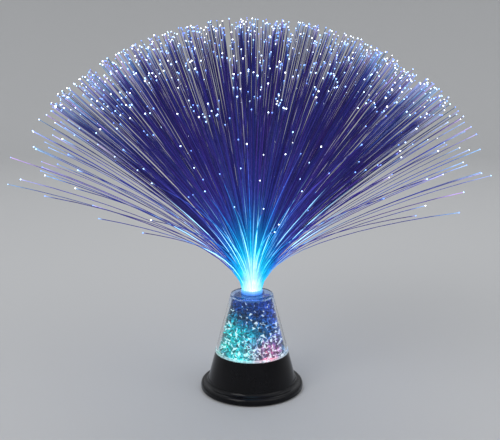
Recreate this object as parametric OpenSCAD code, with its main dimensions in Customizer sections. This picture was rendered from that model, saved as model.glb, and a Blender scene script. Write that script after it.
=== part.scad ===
// Battery table lamp: a spray of optical fibres that stands in a clear cone full of crystal chips,
// on a black tapered base. The lamp stands on z = 0 and its axis is x = y = 0. Sizes in mm.

/* [Overall] */
// Full height, from the table to the tips of the upright fibres
lamp_h = 330; // [280:1:400]
// Outer radius of the base wall where it meets the foot
wall_r = 39.5; // [38:0.5:50]
// How far the foot stands out past the wall
foot_flare = 7; // [5:0.5:10]
// Outer radius of the base at its upper rim
rim_r = 33; // [31:0.5:38]

/* [Base shell] */
// Wall of the base shell
shell_t = 2; // [1.6:0.1:2.6]
// Height of the foot's upright edge
foot_edge_h = 2.8; // [2.6:0.1:4]
// Radius of the foot's rounded shoulder
foot_round_r = 3; // [2:0.1:4]
// Radius of the hollow curve between the foot and the wall
foot_fillet_r = 3.4; // [2:0.1:5]
// Width of the inner ledge that carries the light deck
ledge_w = 3; // [2:0.1:4]
// Thickness of that ledge
ledge_t = 1.7; // [1.2:0.1:2.5]
// Radius of the screw bosses
boss_r = 3.2; // [2.8:0.1:3.8]
// Height of the screw bosses above the bottom cover
boss_h = 12.5; // [11:0.5:16]
// Angle of the screw bosses from the X axis
boss_az = 24; // [22:1:30]

/* [Bottom cover] */
// Thickness of the bottom cover
cover_t = 2.5; // [2.2:0.1:3.2]
// Wall of the battery well
well_t = 1.5; // [1.2:0.1:2]
// Width of the step that the battery door closes on
step_w = 1.2; // [1:0.1:1.6]
// Thickness of the battery door
door_t = 2; // [1.6:0.1:2.1]
// Radius of a rubber foot
pad_r = 4; // [3:0.1:5]
// Thickness of a rubber foot
pad_t = 1.6; // [1.2:0.1:2]
// Depth of the recess that a rubber foot is glued in
pad_recess = 0.6; // [0.4:0.1:1]
// Height of the cover's stiffening ribs
rib_h = 3; // [1.5:0.1:4]

/* [Batteries] */
// Diameter of a cell
cell_d = 10.5; // [9:0.1:12.7]
// Length of a cell with its button
cell_l = 44.5; // [37:0.1:53.5]
// Length of a pressed battery spring
spring_l = 4.4; // [3.6:0.1:6]
// Turns of a battery spring
spring_turns = 3; // [2:1:4]
// Radius of the spring wire
spring_wire_r = 0.3; // [0.2:0.05:0.35]

/* [Switch] */
// Travel of the switch slider
switch_travel = 3; // [2:0.1:4]
// Height of the switch can
switch_h = 4.6; // [4:0.1:6]

/* [Lights] */
// Height of the circuit board above the battery well
post_h = 6.3; // [4:0.1:10]
// Thickness of the circuit board
board_t = 1.6; // [1:0.1:2]
// Radius of an LED lens
led_r = 2.5; // [1.5:0.1:3]
// Height of an LED above the board
led_h = 5.7; // [4:0.1:8]
// Distance of the coloured LEDs from the axis
led_ring_r = 19; // [17:0.5:23]
// Thickness of the light deck under the crystals
deck_t = 2; // [1.5:0.1:3]

/* [Crystal cone] */
// Height of the clear cone above the base
cone_h = 54; // [42:1:66]
// Outer radius of the cone at its top
cone_top_r = 19.3; // [17.5:0.1:24]
// Wall of the cone
cone_t = 2; // [1.5:0.1:2.6]
// Thickness of the cone's top
cone_top_t = 2.2; // [1.6:0.1:3]
// Radius of the rounded edge of the cone's top
cone_round_r = 1.5; // [0.8:0.1:2]
// Height of the spigot that goes down into the base
spigot_h = 3; // [2:0.1:4]
// Height of the flange that sits on the base
flange_h = 1.4; // [1:0.1:2.4]
// Wall of the light tube in the middle of the cone
tube_t = 1.2; // [0.8:0.1:1.6]

/* [Crystals] */
// Size of a crystal chip
chip_size = 6.8; // [6:0.1:9]
// Least size of a chip's corner, as a share of its space
chip_least = 0.7; // [0.6:0.01:0.8]

/* [Fibres] */
// Radius of the fibre bundle in its ferrule
bundle_r = 7.8; // [6.6:0.1:9.4]
// Wall of the ferrule
ferrule_t = 0.9; // [0.8:0.1:1.5]
// Length of the ferrule below its rim
ferrule_l = 18; // [14:0.5:24]
// Rings of fibres round the middle of the bundle
ring_count = 10; // [10:1:11]
// Tip angle of the dense part of the spray, from upright
spray_angle = 50; // [40:1:55]
// Tip angle of the widest fibres
widest_angle = 67; // [60:1:78]
// Share of its tip angle that a fibre lacks as it leaves the bundle
root_bend = 0.65; // [0.5:0.05:0.8]
// Length over which a fibre bends outwards
bend_l = 35; // [25:1:50]
// How far the widest tips droop further, in degrees
droop = 10; // [0:1:14]
// Length of the few short fibres
short_l = 105; // [80:1:140]

/* [Hidden] */
$fn = 96;

// Clearances
fit = 0.3;
slip = 0.1;
glue = 0.05;
eps = 0.01;
cell_gap = 0.4;
led_gap = 0.7;

// Heights of the stack, from the table up
cover_z = pad_t - pad_recess;
cover_top = cover_z + cover_t;
door_top = cover_z + door_t;
cell_z = door_top + cell_gap + cell_d / 2;
well_roof = cell_z + cell_d / 2 + fit;
well_top = well_roof + well_t;
board_z = well_top + post_h;
board_top = board_z + board_t;
deck_z = board_top + led_h + led_gap;
deck_top = deck_z + deck_t;
rim_z = deck_top + spigot_h;
cone_top = rim_z + cone_h;
foot_top = cover_z + foot_edge_h + foot_round_r;
wall_z = foot_top + foot_fillet_r;

// Radii of the base and the cone
foot_r = wall_r + foot_flare;
cover_r = foot_r - shell_t - fit;
slope = (wall_r - rim_r) / (rim_z - wall_z);
cone_slope = (rim_r - cone_top_r) / cone_h;
spigot_r = shell_in(rim_z) - fit;
spigot_t = 1.6;
spigot_in = spigot_r - spigot_t;
boss_inset = 0.4;
boss_pos = shell_in(cover_top + boss_h) - boss_r - boss_inset;
boss_cap = 1.5;
boss_rib_t = 2;
boss_places = [boss_az, 180 - boss_az, 180 + boss_az, 360 - boss_az];
pad_inset = 1;
pad_pos = cover_r - pad_r - pad_inset;
pad_places = [45, 135, 225, 315];
rib_t = 1.2;
rib_r = shell_in(wall_z) - 1;
rib_places = [60, 90, 120, 240, 270, 300];
function shell_out(z) = wall_r - slope * (z - wall_z);
function shell_in(z) = shell_out(z) - shell_t;
function cone_out(z) = rim_r - cone_slope * (z - rim_z);
function cone_in(z) = cone_out(z) - cone_t;

// Battery well
cell_pitch = cell_d + 0.2;
dimple_h = 1;
contact_t = 0.4;
well_x = 1.5 * cell_pitch;
well_y = (cell_l + spring_l + dimple_h) / 2 + contact_t;
cell_shift = (spring_l - dimple_h) / 2;
button_h = 1.2;
button_r = 1.9;
contact_low = cell_z - cell_d / 2 + 2.4;
contact_high = well_roof - 0.6;
tab_w = 1.4;
tab_up = 1.6;
tab_x = cell_pitch - 1.6;
door_gap = 0.25;
door_x = well_x + step_w - door_gap;
door_y = well_y + step_w - door_gap;
hook_x = 0.55 * well_x;
hook_w = 5;
hook_out = 1.7;
hook_t = 1.1;
hook_z = cover_top + door_gap;
latch_w = 13.6;
latch_l = 15;
latch_slot = 0.8;
grip_w = 10;
grip_pitch = 2;
grip_t = 0.9;
hook_slot_h = 2.1;

// Screws
pilot_r = 1.1;
screw_r = pilot_r - glue;
head_r = 2.6;
head_h = 1.4;
counterbore_r = head_r + 0.4;
counterbore_d = 1.7;
cover_screw_l = 10;
board_pilot_r = 0.9;
board_screw_r = board_pilot_r - glue;
board_head_r = 2;
board_head_h = 1.3;
board_screw_l = 5;
post_r = 3;
post_pos = 0.8 * well_x;
post_places = [90, 210, 330];

// Switch, its can's long side along Y
switch_inset = 3;
switch_pos = boss_pos - switch_inset;
knob_x = 2.4;
knob_y = 3;
carriage_x = 3.4;
carriage_y = 4.2;
carriage_h = 2;
can_t = 0.5;
can_x = carriage_x + 2 * fit + 2 * can_t;
can_y = carriage_y + switch_travel + 2 * fit + 2 * can_t;
ear_l = 2.4;
ear_t = 0.5;
stake_r = 0.7;
stake_up = 0.6;
pin_r = 0.4;
pin_l = 2;
pin_places = [-2.5, 0, 2.5];

// Board, lights and wires
board_inset = 3;
board_r = shell_in(board_top) - board_inset;
chip_pos = 21;
resistor_pos = 22;
resistor_pitch = 5;
red_places = [135, 315];
green_places = [195, 255];
blue_places = [15, 75];
led_places = concat(red_places, green_places, blue_places);
led_flange_r = led_r + 0.4;
led_flange_h = 1;
led_base = board_top + fit;
lead_r = 0.25;
lead_gap = 1.27;
lead_end = 1;
cup_r = bundle_r - 0.6;
cup_foot_r = 4.2;
cup_t = 0.8;
cup_h = led_h + led_gap - fit;
deck_r = shell_in(deck_top) - fit;
deck_hollow = 0.8;
wire_r = 0.6;
wire_in = 3;

// Ferrule, tube and bundle
ferrule_r = bundle_r + glue + ferrule_t;
hole_r = ferrule_r + slip;
tube_in = hole_r + slip;
tube_r = tube_in + tube_t;
tube_seat = 1;
rim_w = 0.8;
rim_t = 1.2;
lip_w = 0.7;
lip_t = 1;
backing_t = 1.8;
strand_up = 0.2;
strand_root = cone_top + rim_t + strand_up;
strand_l = lamp_h - strand_root;

// Crystal layers between the deck and the cone's top
chip_gap = 0.2;
chip_low = deck_top + chip_gap;
chip_high = cone_top - cone_top_t - 1;
layer_count = max(3, round((chip_high - chip_low) / chip_size));
layer_h = (chip_high - chip_low) / layer_count;

// Points of an arc about c
function arc(c, r, from, to, n = 8) =
  [for (i = [0:n]) let (a = from + (to - from) * i / n) [c[0] + r * cos(a), c[1] + r * sin(a)]];

// Sum of a list of points
function sum(v) = [for (e = v) 1] * v;

function unit(v) = v / norm(v);

// A plate with rounded corners, 2 x by 2 y, h high
module round_rect(x, y, r, h) {
  linear_extrude(h) {
    square([2 * x - 2 * r, 2 * y], center = true);
    square([2 * x, 2 * y - 2 * r], center = true);
    for (sx = [-1, 1])
      for (sy = [-1, 1])
        translate([sx * (x - r), sy * (y - r)])
          circle(r, $fn = 32);
  }
}

// Places its children at angle a, distance r and height z
module at(a, r, z = 0) {
  rotate([0, 0, a])
    translate([r, 0, z])
      children();
}

// A tube swept along points, one unbroken surface. Its sections stand square to the path.
module swept_tube(path, r, sides, up = [0, 0, 1]) {
  n = len(path);
  sections = [
    for (i = [0:n - 1])
      let (
        t = unit(path[min(i + 1, n - 1)] - path[max(i - 1, 0)]),
        u = unit(cross(t, up)),
        v = cross(u, t)
      )
      for (j = [0:sides - 1])
        let (a = 360 * j / sides)
        path[i] + r * (cos(a) * u + sin(a) * v)
  ];
  walls = [
    for (i = [0:n - 2])
      for (j = [0:sides - 1])
        let (
          a = i * sides + j,
          b = i * sides + (j + 1) % sides
        )
        each [[a, b, b + sides], [a, b + sides, a + sides]]
  ];
  last = (n - 1) * sides;
  ends = [
    for (j = [1:sides - 2])
      each [[0, j + 1, j], [last, last + j, last + j + 1]]
  ];
  polyhedron(sections, concat(walls, ends), convexity = 10);
}

// A small pan-head screw with a cross slot, head down at z = 0 and shank upwards
module screw(r, l, hr, hh) {
  difference() {
    union() {
      rotate_extrude($fn = 48)
        polygon(concat(
          [[0, 0], [hr - 0.5, 0]],
          arc([hr - 0.5, 0.5], 0.5, -90, 0, 4),
          [[hr, hh], [r, hh], [r, hh + l - r], [0, hh + l]]
        ));
    }
    for (a = [0, 90])
      rotate([0, 0, a])
        translate([-hr * 0.6, -0.3, -eps])
          cube([hr * 1.2, 0.6, hh * 0.6]);
  }
}

// Glossy black wall with its foot, the ledge for the deck and the four screw bosses
module base_shell() {
  outline = concat(
    [[foot_r - shell_t, cover_z], [foot_r - 0.4, cover_z], [foot_r, cover_z + 0.4]],
    arc([foot_r - foot_round_r, foot_top - foot_round_r], foot_round_r, 0, 90),
    arc([wall_r + foot_fillet_r, wall_z], foot_fillet_r, 270, 180),
    [[shell_out(rim_z), rim_z], [shell_in(rim_z), rim_z]],
    [[shell_in(deck_z), deck_z], [shell_in(deck_z) - ledge_w, deck_z]],
    [[shell_in(deck_z) - ledge_w, deck_z - ledge_t]],
    [[shell_in(deck_z - ledge_t) - 0.5, deck_z - ledge_t]],
    [[shell_in(deck_z - ledge_t - 1), deck_z - ledge_t - 1]],
    [[shell_in(wall_z), wall_z], [cover_r - 1.9, cover_top], [foot_r - shell_t, cover_top]]
  );
  color("#101014")
    difference() {
      union() {
        rotate_extrude()
          polygon(outline);
        intersection() {
          for (a = boss_places)
            at(a, boss_pos, cover_top) {
              cylinder(h = boss_h, r = boss_r, $fn = 48);
              translate([0, -boss_rib_t / 2, 0])
                cube([boss_r + shell_t + foot_flare, boss_rib_t, boss_h]);
            }
          rotate_extrude()
            polygon([
              [0, cover_top],
              [cover_r - 0.6, cover_top],
              [shell_out(wall_z) - shell_t / 2, wall_z],
              [shell_out(rim_z) - shell_t / 2, rim_z],
              [0, rim_z]
            ]);
        }
      }
      for (a = boss_places)
        at(a, boss_pos, cover_top - eps)
          cylinder(h = boss_h - boss_cap, r = pilot_r, $fn = 32);
    }
}

// Plate with the battery well, the door's step, ribs, board posts and the switch's slot and stakes
module bottom_cover() {
  color("#17171a")
    difference() {
      union() {
        translate([0, 0, cover_z])
          cylinder(h = cover_t, r = cover_r);
        translate([0, 0, cover_top - eps])
          round_rect(well_x + well_t, well_y + well_t, 2, well_top - cover_top + eps);
        for (a = rib_places)
          rotate([0, 0, a])
            translate([0, -rib_t / 2, cover_top - eps])
              cube([rib_r, rib_t, rib_h + eps]);
        for (a = post_places)
          at(a, post_pos, well_top - eps)
            cylinder(h = post_h + eps, r = post_r, $fn = 48);
        for (s = [-1, 1])
          translate([switch_pos, s * (can_y + ear_l) / 2, cover_top - eps])
            cylinder(h = ear_t + stake_up, r = stake_r, $fn = 24);
      }
      translate([0, 0, door_top - eps])
        round_rect(well_x, well_y, 0.6, well_roof - door_top + eps);
      translate([0, 0, cover_z - eps])
        round_rect(well_x + step_w, well_y + step_w, 1.4, door_t + eps);
      for (s = [-1, 1])
        translate([s * hook_x - hook_w / 2 - fit, -well_y - well_t - eps, cover_top])
          cube([hook_w + 2 * fit, well_t + 1, hook_slot_h]);
      for (turn = [0, 180])
        rotate([0, 0, turn])
          translate([tab_x - tab_w / 2 - fit, well_y - contact_t - slip, well_roof - eps])
            cube([tab_w + 2 * fit, contact_t + 2 * slip, well_t + 2 * eps]);
      for (a = post_places)
        at(a, post_pos, well_top)
          cylinder(h = post_h + eps, r = board_pilot_r, $fn = 24);
      for (a = boss_places)
        at(a, boss_pos, cover_z - eps) {
          cylinder(h = counterbore_d + eps, r = counterbore_r, $fn = 48);
          cylinder(h = cover_t + 2 * eps, r = pilot_r + fit, $fn = 32);
        }
      for (a = pad_places)
        at(a, pad_pos, cover_z - eps)
          cylinder(h = pad_recess + eps, r = pad_r + 0.2, $fn = 48);
      translate([switch_pos, 0, cover_z - eps])
        linear_extrude(cover_t + 2 * eps)
          square([knob_x + 2 * fit, knob_y + switch_travel + 2 * fit], center = true);
      translate([switch_pos, 0, cover_z - eps])
        round_rect(knob_x / 2 + 1.4, (knob_y + switch_travel) / 2 + 1.6, 1.2, 0.9);
    }
}

module cover_screws() {
  color("silver")
    for (a = boss_places)
      at(a, boss_pos, cover_z + counterbore_d - head_h)
        screw(screw_r, cover_screw_l, head_r, head_h);
}

module rubber_feet() {
  color("#26262a")
    for (a = pad_places)
      at(a, pad_pos)
        rotate_extrude($fn = 48)
          polygon([[0, 0], [pad_r - 0.4, 0], [pad_r, 0.4], [pad_r, pad_t], [0, pad_t]]);
}

// Door of the battery well. It hooks over the well's step at the back edge of its swing.
module battery_door() {
  color("#1c1c20")
    difference() {
      union() {
        translate([0, 0, cover_z])
          round_rect(door_x, door_y, 1.2, door_t);
        for (s = [-1, 1])
          translate([s * hook_x - hook_w / 2, -well_y + fit, door_top - eps]) {
            cube([hook_w, 1.5, hook_z + hook_t - door_top + eps]);
            translate([0, -hook_out - fit, hook_z - door_top + eps])
              cube([hook_w, hook_out + fit + 1.5, hook_t]);
          }
      }
      for (i = [0:3])
        translate([-grip_w / 2, door_y - latch_l + 3 + grip_pitch * i, cover_z - eps])
          cube([grip_w, grip_t, 0.5]);
      for (s = [-1, 1])
        translate([s * (latch_w + latch_slot) / 2 - latch_slot / 2, door_y - latch_l, cover_z - eps])
          cube([latch_slot, latch_l + eps, door_t + 2 * eps]);
    }
}

// Three cells side by side, every other one turned round
module batteries() {
  color("#6e7378")
    for (i = [-1:1])
      translate([i * cell_pitch, 0, cell_z])
        rotate([i == 0 ? 90 : -90, 0, 0])
          translate([0, 0, cell_shift - cell_l / 2])
            rotate_extrude($fn = 64)
              polygon([
                [0, 0.2], [cell_d / 2 - 1.4, 0.2], [cell_d / 2 - 1.1, 0], [cell_d / 2 - 0.4, 0],
                [cell_d / 2, 0.4], [cell_d / 2, cell_l - button_h - 0.4],
                [cell_d / 2 - 0.4, cell_l - button_h], [button_r, cell_l - button_h],
                [button_r, cell_l - 0.2], [button_r - 0.2, cell_l], [0, cell_l]
              ]);
}

// Coned battery spring, wound as one wire
spring_wide = 2.6;
spring_narrow = 2;
spring_end = 0.05;
spring_rings = 8;
spring_rise = spring_l - 2 * spring_wire_r - 2 * spring_end;
spring_path = [
  for (i = [0:spring_turns * spring_rings])
    let (
      f = i / (spring_turns * spring_rings),
      a = 360 * i / spring_rings,
      r = spring_wide + (spring_narrow - spring_wide) * f
    )
    [r * cos(a), r * sin(a), spring_wire_r + spring_end + f * spring_rise]
];
echo(spring_gap = spring_rise / spring_turns - 2 * spring_wire_r);

module battery_springs() {
  color("#c9b98a")
    for (i = [-1:1])
      translate([i * cell_pitch, (i == 0 ? 1 : -1) * (well_y - contact_t), cell_z])
        rotate([i == 0 ? 90 : -90, 0, 0])
          swept_tube(spring_path, spring_wire_r, 6);
}

// Sheet contacts: two bridge a pair of cells, two carry a wire through the roof of the well
module contact_plates() {
  h = contact_high - contact_low;
  color("#d8d4c8")
    for (s = [-1, 1])
      rotate([0, 0, s > 0 ? 0 : 180])
        translate([0, well_y - contact_t, 0]) {
          translate([-1.5 * cell_pitch + 1, 0, contact_low])
            cube([2 * cell_pitch - 1.8, contact_t, h]);
          translate([0.5 * cell_pitch + 0.2, 0, contact_low])
            cube([cell_pitch - 1.2, contact_t, h]);
          translate([tab_x - tab_w / 2, 0, contact_high - eps])
            cube([tab_w, contact_t, well_top + tab_up - contact_high]);
          for (x = s > 0 ? [-cell_pitch, cell_pitch] : [0])
            translate([x, 0, cell_z])
              rotate([90, 0, 0])
                cylinder(h = dimple_h - glue, r1 = 1.6, r2 = 1.1, $fn = 24);
        }
}

// Can of the slide switch, open downwards over the slot
module switch_body() {
  color("#b8bcc2")
    translate([switch_pos, 0, cover_top])
      difference() {
        union() {
          translate([-can_x / 2, -can_y / 2, 0])
            cube([can_x, can_y, switch_h]);
          translate([-can_x / 2, -can_y / 2 - ear_l, 0])
            cube([can_x, can_y + 2 * ear_l, ear_t]);
          for (y = pin_places)
            translate([0, y, switch_h - eps])
              cylinder(h = pin_l, r = pin_r, $fn = 16);
        }
        translate([can_t - can_x / 2, can_t - can_y / 2, -eps])
          cube([can_x - 2 * can_t, can_y - 2 * can_t, carriage_h + 2 * fit]);
        for (s = [-1, 1])
          translate([0, s * (can_y + ear_l) / 2, -eps])
            cylinder(h = ear_t + 2 * eps, r = stake_r + slip, $fn = 24);
      }
}

// Slider at its off end. The knob stays inside the cover's recess.
module switch_slider() {
  color("#2a2a2e")
    translate([switch_pos, -switch_travel / 2, 0])
      difference() {
        union() {
          translate([-knob_x / 2, -knob_y / 2, cover_z + 0.2])
            cube([knob_x, knob_y, cover_t]);
          translate([-carriage_x / 2, -carriage_y / 2, cover_top + fit])
            cube([carriage_x, carriage_y, carriage_h - fit]);
          translate([-knob_x / 2, -knob_y / 2, cover_z + cover_t])
            cube([knob_x, knob_y, 2 * fit]);
        }
        for (y = [-0.9, 0, 0.9])
          translate([-knob_x / 2 - eps, y - 0.15, cover_z + 0.2 - eps])
            cube([knob_x + 2 * eps, 0.3, 0.3]);
      }
}

// Round board with its screw holes, LED lead holes and the cup's two peg holes
module circuit_board() {
  color("#1f6b3a")
    difference() {
      translate([0, 0, board_z])
        cylinder(h = board_t, r = board_r);
      for (a = post_places)
        at(a, post_pos, board_z - eps)
          cylinder(h = board_t + 2 * eps, r = board_pilot_r + fit, $fn = 24);
      for (a = led_places)
        at(a, led_ring_r, board_z - eps)
          for (s = [-1, 1])
            translate([0, s * lead_gap, 0])
              cylinder(h = board_t + 2 * eps, r = lead_r + slip, $fn = 16);
      for (s = [-1, 1])
        translate([0, s * lead_gap, board_z - eps])
          cylinder(h = board_t + 2 * eps, r = lead_r + slip, $fn = 16);
    }
}

module board_screws() {
  color("silver")
    for (a = post_places)
      at(a, post_pos, board_top + board_head_h)
        rotate([180, 0, 0])
          screw(board_screw_r, board_screw_l, board_head_r, board_head_h);
}

// Eight-legged chip on the underside of the board
chip_x = 5;
chip_y = 4;
chip_t = 1.5;
leg_pitch = 1.27;
leg_w = 0.4;
leg_l = 1.1;
leg_h = 0.9;

module controller_chip() {
  color("#1b1b1d")
    translate([0, -chip_pos, board_z]) {
      translate([-chip_x / 2, -chip_y / 2, -chip_t - 0.1])
        cube([chip_x, chip_y, chip_t]);
      for (i = [-1.5:1:1.5])
        for (s = [-1, 1])
          translate([i * leg_pitch - leg_w / 2, s * (chip_y + leg_h) / 2 - leg_l / 2, -leg_h])
            cube([leg_w, leg_l, leg_h]);
    }
}

// Three small resistors lying under the board, with waisted bodies and short legs
resistor_low = 1.25;
leg_place = 3.6;

module resistors() {
  color("#c8a878")
    for (i = [-1:1])
      translate([-resistor_pos, i * resistor_pitch, board_z - resistor_low])
        rotate([90, 0, 90]) {
          translate([0, 0, -3])
            rotate_extrude($fn = 32)
              polygon([
                [0, 0], [1, 0], [1.2, 0.4], [1.2, 1.3], [1, 1.7],
                [1, 4.3], [1.2, 4.7], [1.2, 5.6], [1, 6], [0, 6]
              ]);
          for (s = [-1, 1])
            translate([0, resistor_low / 2 - eps, s * leg_place])
              cube([2 * lead_r, resistor_low, 2 * lead_r], center = true);
          for (s = [-1, 1])
            translate([0, 0, s * (leg_place - 0.3) - 0.55])
              cylinder(h = 1.1, r = lead_r, $fn = 16);
        }
}

// A wire's smooth path from one place to another. Its first and last stretches are upright.
function wire_path(a, b, n = 10) = [
  for (i = [0:n])
    let (
      f = min(1, max(0, (i - 1) / (n - 2))),
      g = f * f * (3 - 2 * f)
    )
    [a[0] + (b[0] - a[0]) * g, a[1] + (b[1] - a[1]) * g, a[2] + (b[2] - a[2]) * i / n]
];

// From the two tabs above the well to the board
module battery_wires() {
  for (s = [-1, 1])
    color(s > 0 ? "#b02020" : "#202024")
      swept_tube(
        wire_path(
          [s * tab_x, s * (well_y - contact_t / 2), well_top + tab_up],
          [s * (cell_pitch + 5), s * (well_y - 6), board_z]
        ),
        wire_r, 8, [1, 0, 0]
      );
}

// From the switch's outer pins to the board's edge
module switch_wires() {
  color("#a03030")
    for (y = [pin_places[0], pin_places[2]])
      swept_tube(
        wire_path(
          [switch_pos, y, cover_top + switch_h + pin_l],
          [board_r - wire_in, y, board_z]
        ),
        wire_r, 8, [0, 1, 0]
      );
}

// White cup that turns the middle LED's light up the tube
module reflector_cup() {
  color("#f2f2f0")
    translate([0, 0, board_top])
      rotate_extrude()
        polygon([
          [led_flange_r + 0.2, 0], [cup_foot_r, 0], [cup_r, cup_h],
          [cup_r - cup_t, cup_h], [led_flange_r + 0.2, 1.4]
        ]);
}

// A round LED with its flange and two leads
module led(tint) {
  color(tint)
    union() {
      translate([0, 0, led_base])
        rotate_extrude($fn = 48)
          polygon(concat(
            [[0, 0], [led_flange_r, 0], [led_flange_r, led_flange_h], [led_r, led_flange_h]],
            arc([0, led_h - fit - led_r], led_r, 0, 90, 8)
          ));
      for (s = [-1, 1])
        translate([0, s * lead_gap, board_z - lead_end])
          cylinder(h = led_base - board_z + lead_end + led_flange_h / 2, r = lead_r, $fn = 16);
    }
}

module led_centre() {
  led("white");
}

module led_red() {
  for (a = red_places)
    at(a, led_ring_r)
      led("red");
}

module led_green() {
  for (a = green_places)
    at(a, led_ring_r)
      led("lime");
}

module led_blue() {
  for (a = blue_places)
    at(a, led_ring_r)
      led("blue");
}

// Frosted floor of the crystal chamber, hollowed over each LED, with a seat for the tube
module light_deck() {
  color("#e8eef2")
    difference() {
      translate([0, 0, deck_z])
        cylinder(h = deck_t, r = deck_r);
      translate([0, 0, deck_z - eps])
        cylinder(h = deck_t + 2 * eps, r = tube_in);
      translate([0, 0, deck_top - tube_seat])
        cylinder(h = tube_seat + eps, r = tube_r + slip);
      for (a = led_places)
        at(a, led_ring_r, deck_z - eps)
          cylinder(h = deck_hollow + eps, r = led_flange_r, $fn = 48);
    }
}

module light_tube() {
  bottom = deck_top - tube_seat;
  color("#dfe9f2", 0.4)
    difference() {
      translate([0, 0, bottom])
        cylinder(h = cone_top - cone_top_t - bottom, r = tube_r);
      translate([0, 0, bottom - eps])
        cylinder(h = cone_top - bottom, r = tube_in);
    }
}

// Clear moulding: spigot, flange, tapered wall and top with the hole for the ferrule
module crystal_cone() {
  top_in = cone_top - cone_top_t;
  flange_top = rim_z + flange_h;
  color("#cfe2f2", 0.3)
    rotate_extrude()
      polygon(concat(
        [[spigot_in, deck_top], [spigot_r, deck_top], [spigot_r, rim_z], [rim_r + fit, rim_z]],
        [[rim_r + fit, flange_top - 0.3], [rim_r, flange_top], [cone_out(flange_top), flange_top]],
        arc([cone_out(cone_top) - cone_round_r, cone_top - cone_round_r], cone_round_r, 0, 90, 5),
        [[hole_r, cone_top], [hole_r, top_in], [cone_in(top_in) - 1, top_in]],
        [[cone_in(top_in - 1), top_in - 1], [cone_in(flange_top), flange_top]],
        [[spigot_in, rim_z]]
      ));
}

// Irregular chips. Each fills most of one space of a lattice round the tube.
function wall_at(z) = (z < rim_z + flange_h ? spigot_in : cone_in(z)) - fit;

function chip(r0, r1, a0, a1, z0, z1, seed) =
  let (
    share = rands(chip_least, 0.98, 8, seed),
    corners = [
      for (z = [z0, z1])
        for (q = [[r0, a0], [r1, a0], [r1, a1], [r0, a1]])
          [q[0] * cos(q[1]), q[0] * sin(q[1]), z]
    ],
    middle = sum(corners) / 8
  )
  [for (i = [0:7]) middle + (corners[i] - middle) * share[i]];

function chip_layer(n) =
  let (
    z0 = chip_low + n * layer_h,
    z1 = z0 + layer_h,
    r_in = tube_r + fit,
    r_out = min(wall_at(z0), wall_at(z1)),
    rings = max(1, round((r_out - r_in) / chip_size)),
    w = (r_out - r_in) / rings
  )
  [
    for (j = [0:rings - 1])
      let (
        r0 = r_in + j * w,
        sectors = round(PI * (2 * r0 + w) / chip_size)
      )
      for (i = [0:sectors - 1])
        let (a = 360 * i / sectors + 37 * n + 20 * j)
        chip(r0, (r0 + w) * cos(90 / sectors), a, a + 360 / sectors, z0, z1, 1000 * n + 100 * j + i)
  ];

chip_faces = [
  [0, 1, 2], [0, 2, 3], [4, 5, 1], [4, 1, 0], [7, 6, 5], [7, 5, 4],
  [5, 6, 2], [5, 2, 1], [6, 7, 3], [6, 3, 2], [7, 4, 0], [7, 0, 3]
];

module crystals(from, to) {
  chips = [for (n = [from:to]) each chip_layer(n)];
  echo(crystal_chips = len(chips));
  polyhedron(
    [for (c = chips) each c],
    [for (i = [0:len(chips) - 1]) for (f = chip_faces) [for (k = f) k + 8 * i]],
    convexity = 10
  );
}

layer_a = floor(layer_count / 3) - 1;
layer_b = floor(2 * layer_count / 3) - 1;

module crystals_lower() {
  color("#e8fbff")
    crystals(0, layer_a);
}

module crystals_middle() {
  color("#7fd8e8")
    crystals(layer_a + 1, layer_b);
}

module crystals_upper() {
  color("#5f7fe0")
    crystals(layer_b + 1, layer_count - 1);
}

// Sleeve of the spray. Its rim rests on the cone's top, its lip carries the potted bundle.
module ferrule() {
  bottom = cone_top - ferrule_l;
  bore = bundle_r + glue;
  color("#d6e6f5")
    rotate_extrude()
      polygon([
        [bore - lip_w, bottom], [ferrule_r - 0.5, bottom], [ferrule_r, bottom + 0.5],
        [ferrule_r, cone_top], [ferrule_r + rim_w, cone_top],
        [ferrule_r + rim_w, cone_top + rim_t - 0.4], [ferrule_r + rim_w - 0.4, cone_top + rim_t],
        [bore, cone_top + rim_t], [bore, bottom + lip_t], [bore - lip_w, bottom + lip_t]
      ]);
}

// Potted ends of the fibres, polished flat below
module bundle_core() {
  bottom = cone_top - ferrule_l + lip_t;
  color("#eef6ff")
    translate([0, 0, bottom])
      cylinder(h = strand_root - backing_t - bottom, r = bundle_r);
}

// The spray. The bundle's end is a disc of triangles in rings, six more in each ring. A fibre
// grows out of every triangle that has its base on the ring outside it.
strand_steps = [0.08, 0.2, 0.45, 1];
inner_steps = [0.08, 0.4, 1];
plain_rings = 6;
foot_share = 0.9;
tip_share = 0.6;
path_steps = 24;
tip_jitter = 0.22;
turn_jitter = 8;

function ring_start(k) = k == 0 ? 0 : 1 + 3 * k * (k - 1);

function disc_point(k, i) = ring_start(k) + (k == 0 ? 0 : i % (6 * k));

function disc_place(k, i) =
  let (a = k == 0 ? 0 : 60 * i / k)
  bundle_r * k / ring_count * [cos(a), sin(a)];

// Heading of a fibre from upright, at length s, for its own tip angle
function heading(tip, s) =
  tip * (1 - root_bend * exp(-s / bend_l)) + droop * sin(tip) * pow(s / strand_l, 2);

// Distance outwards and upwards at length s
function reach(tip, s) =
  let (ds = s / path_steps)
  sum([
    for (n = [0:path_steps - 1])
      let (h = heading(tip, (n + 0.5) * ds))
      ds * [sin(h), cos(h)]
  ]);

// Tip angle: even over the dense part, with three steps in the outermost ring
function tip_angle(k, i) =
  let (
    wide = [widest_angle, 0.83 * widest_angle, spray_angle + 3],
    share = rands(-tip_jitter, tip_jitter, 1, 100 * k + i)[0]
  )
  k == ring_count
    ? wide[i % 3]
    : spray_angle * pow((k + share - 0.2) / (ring_count - 0.5), 0.92);

function is_short(k, i) = k == ring_count - 1 && i % 9 == 4;

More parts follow.
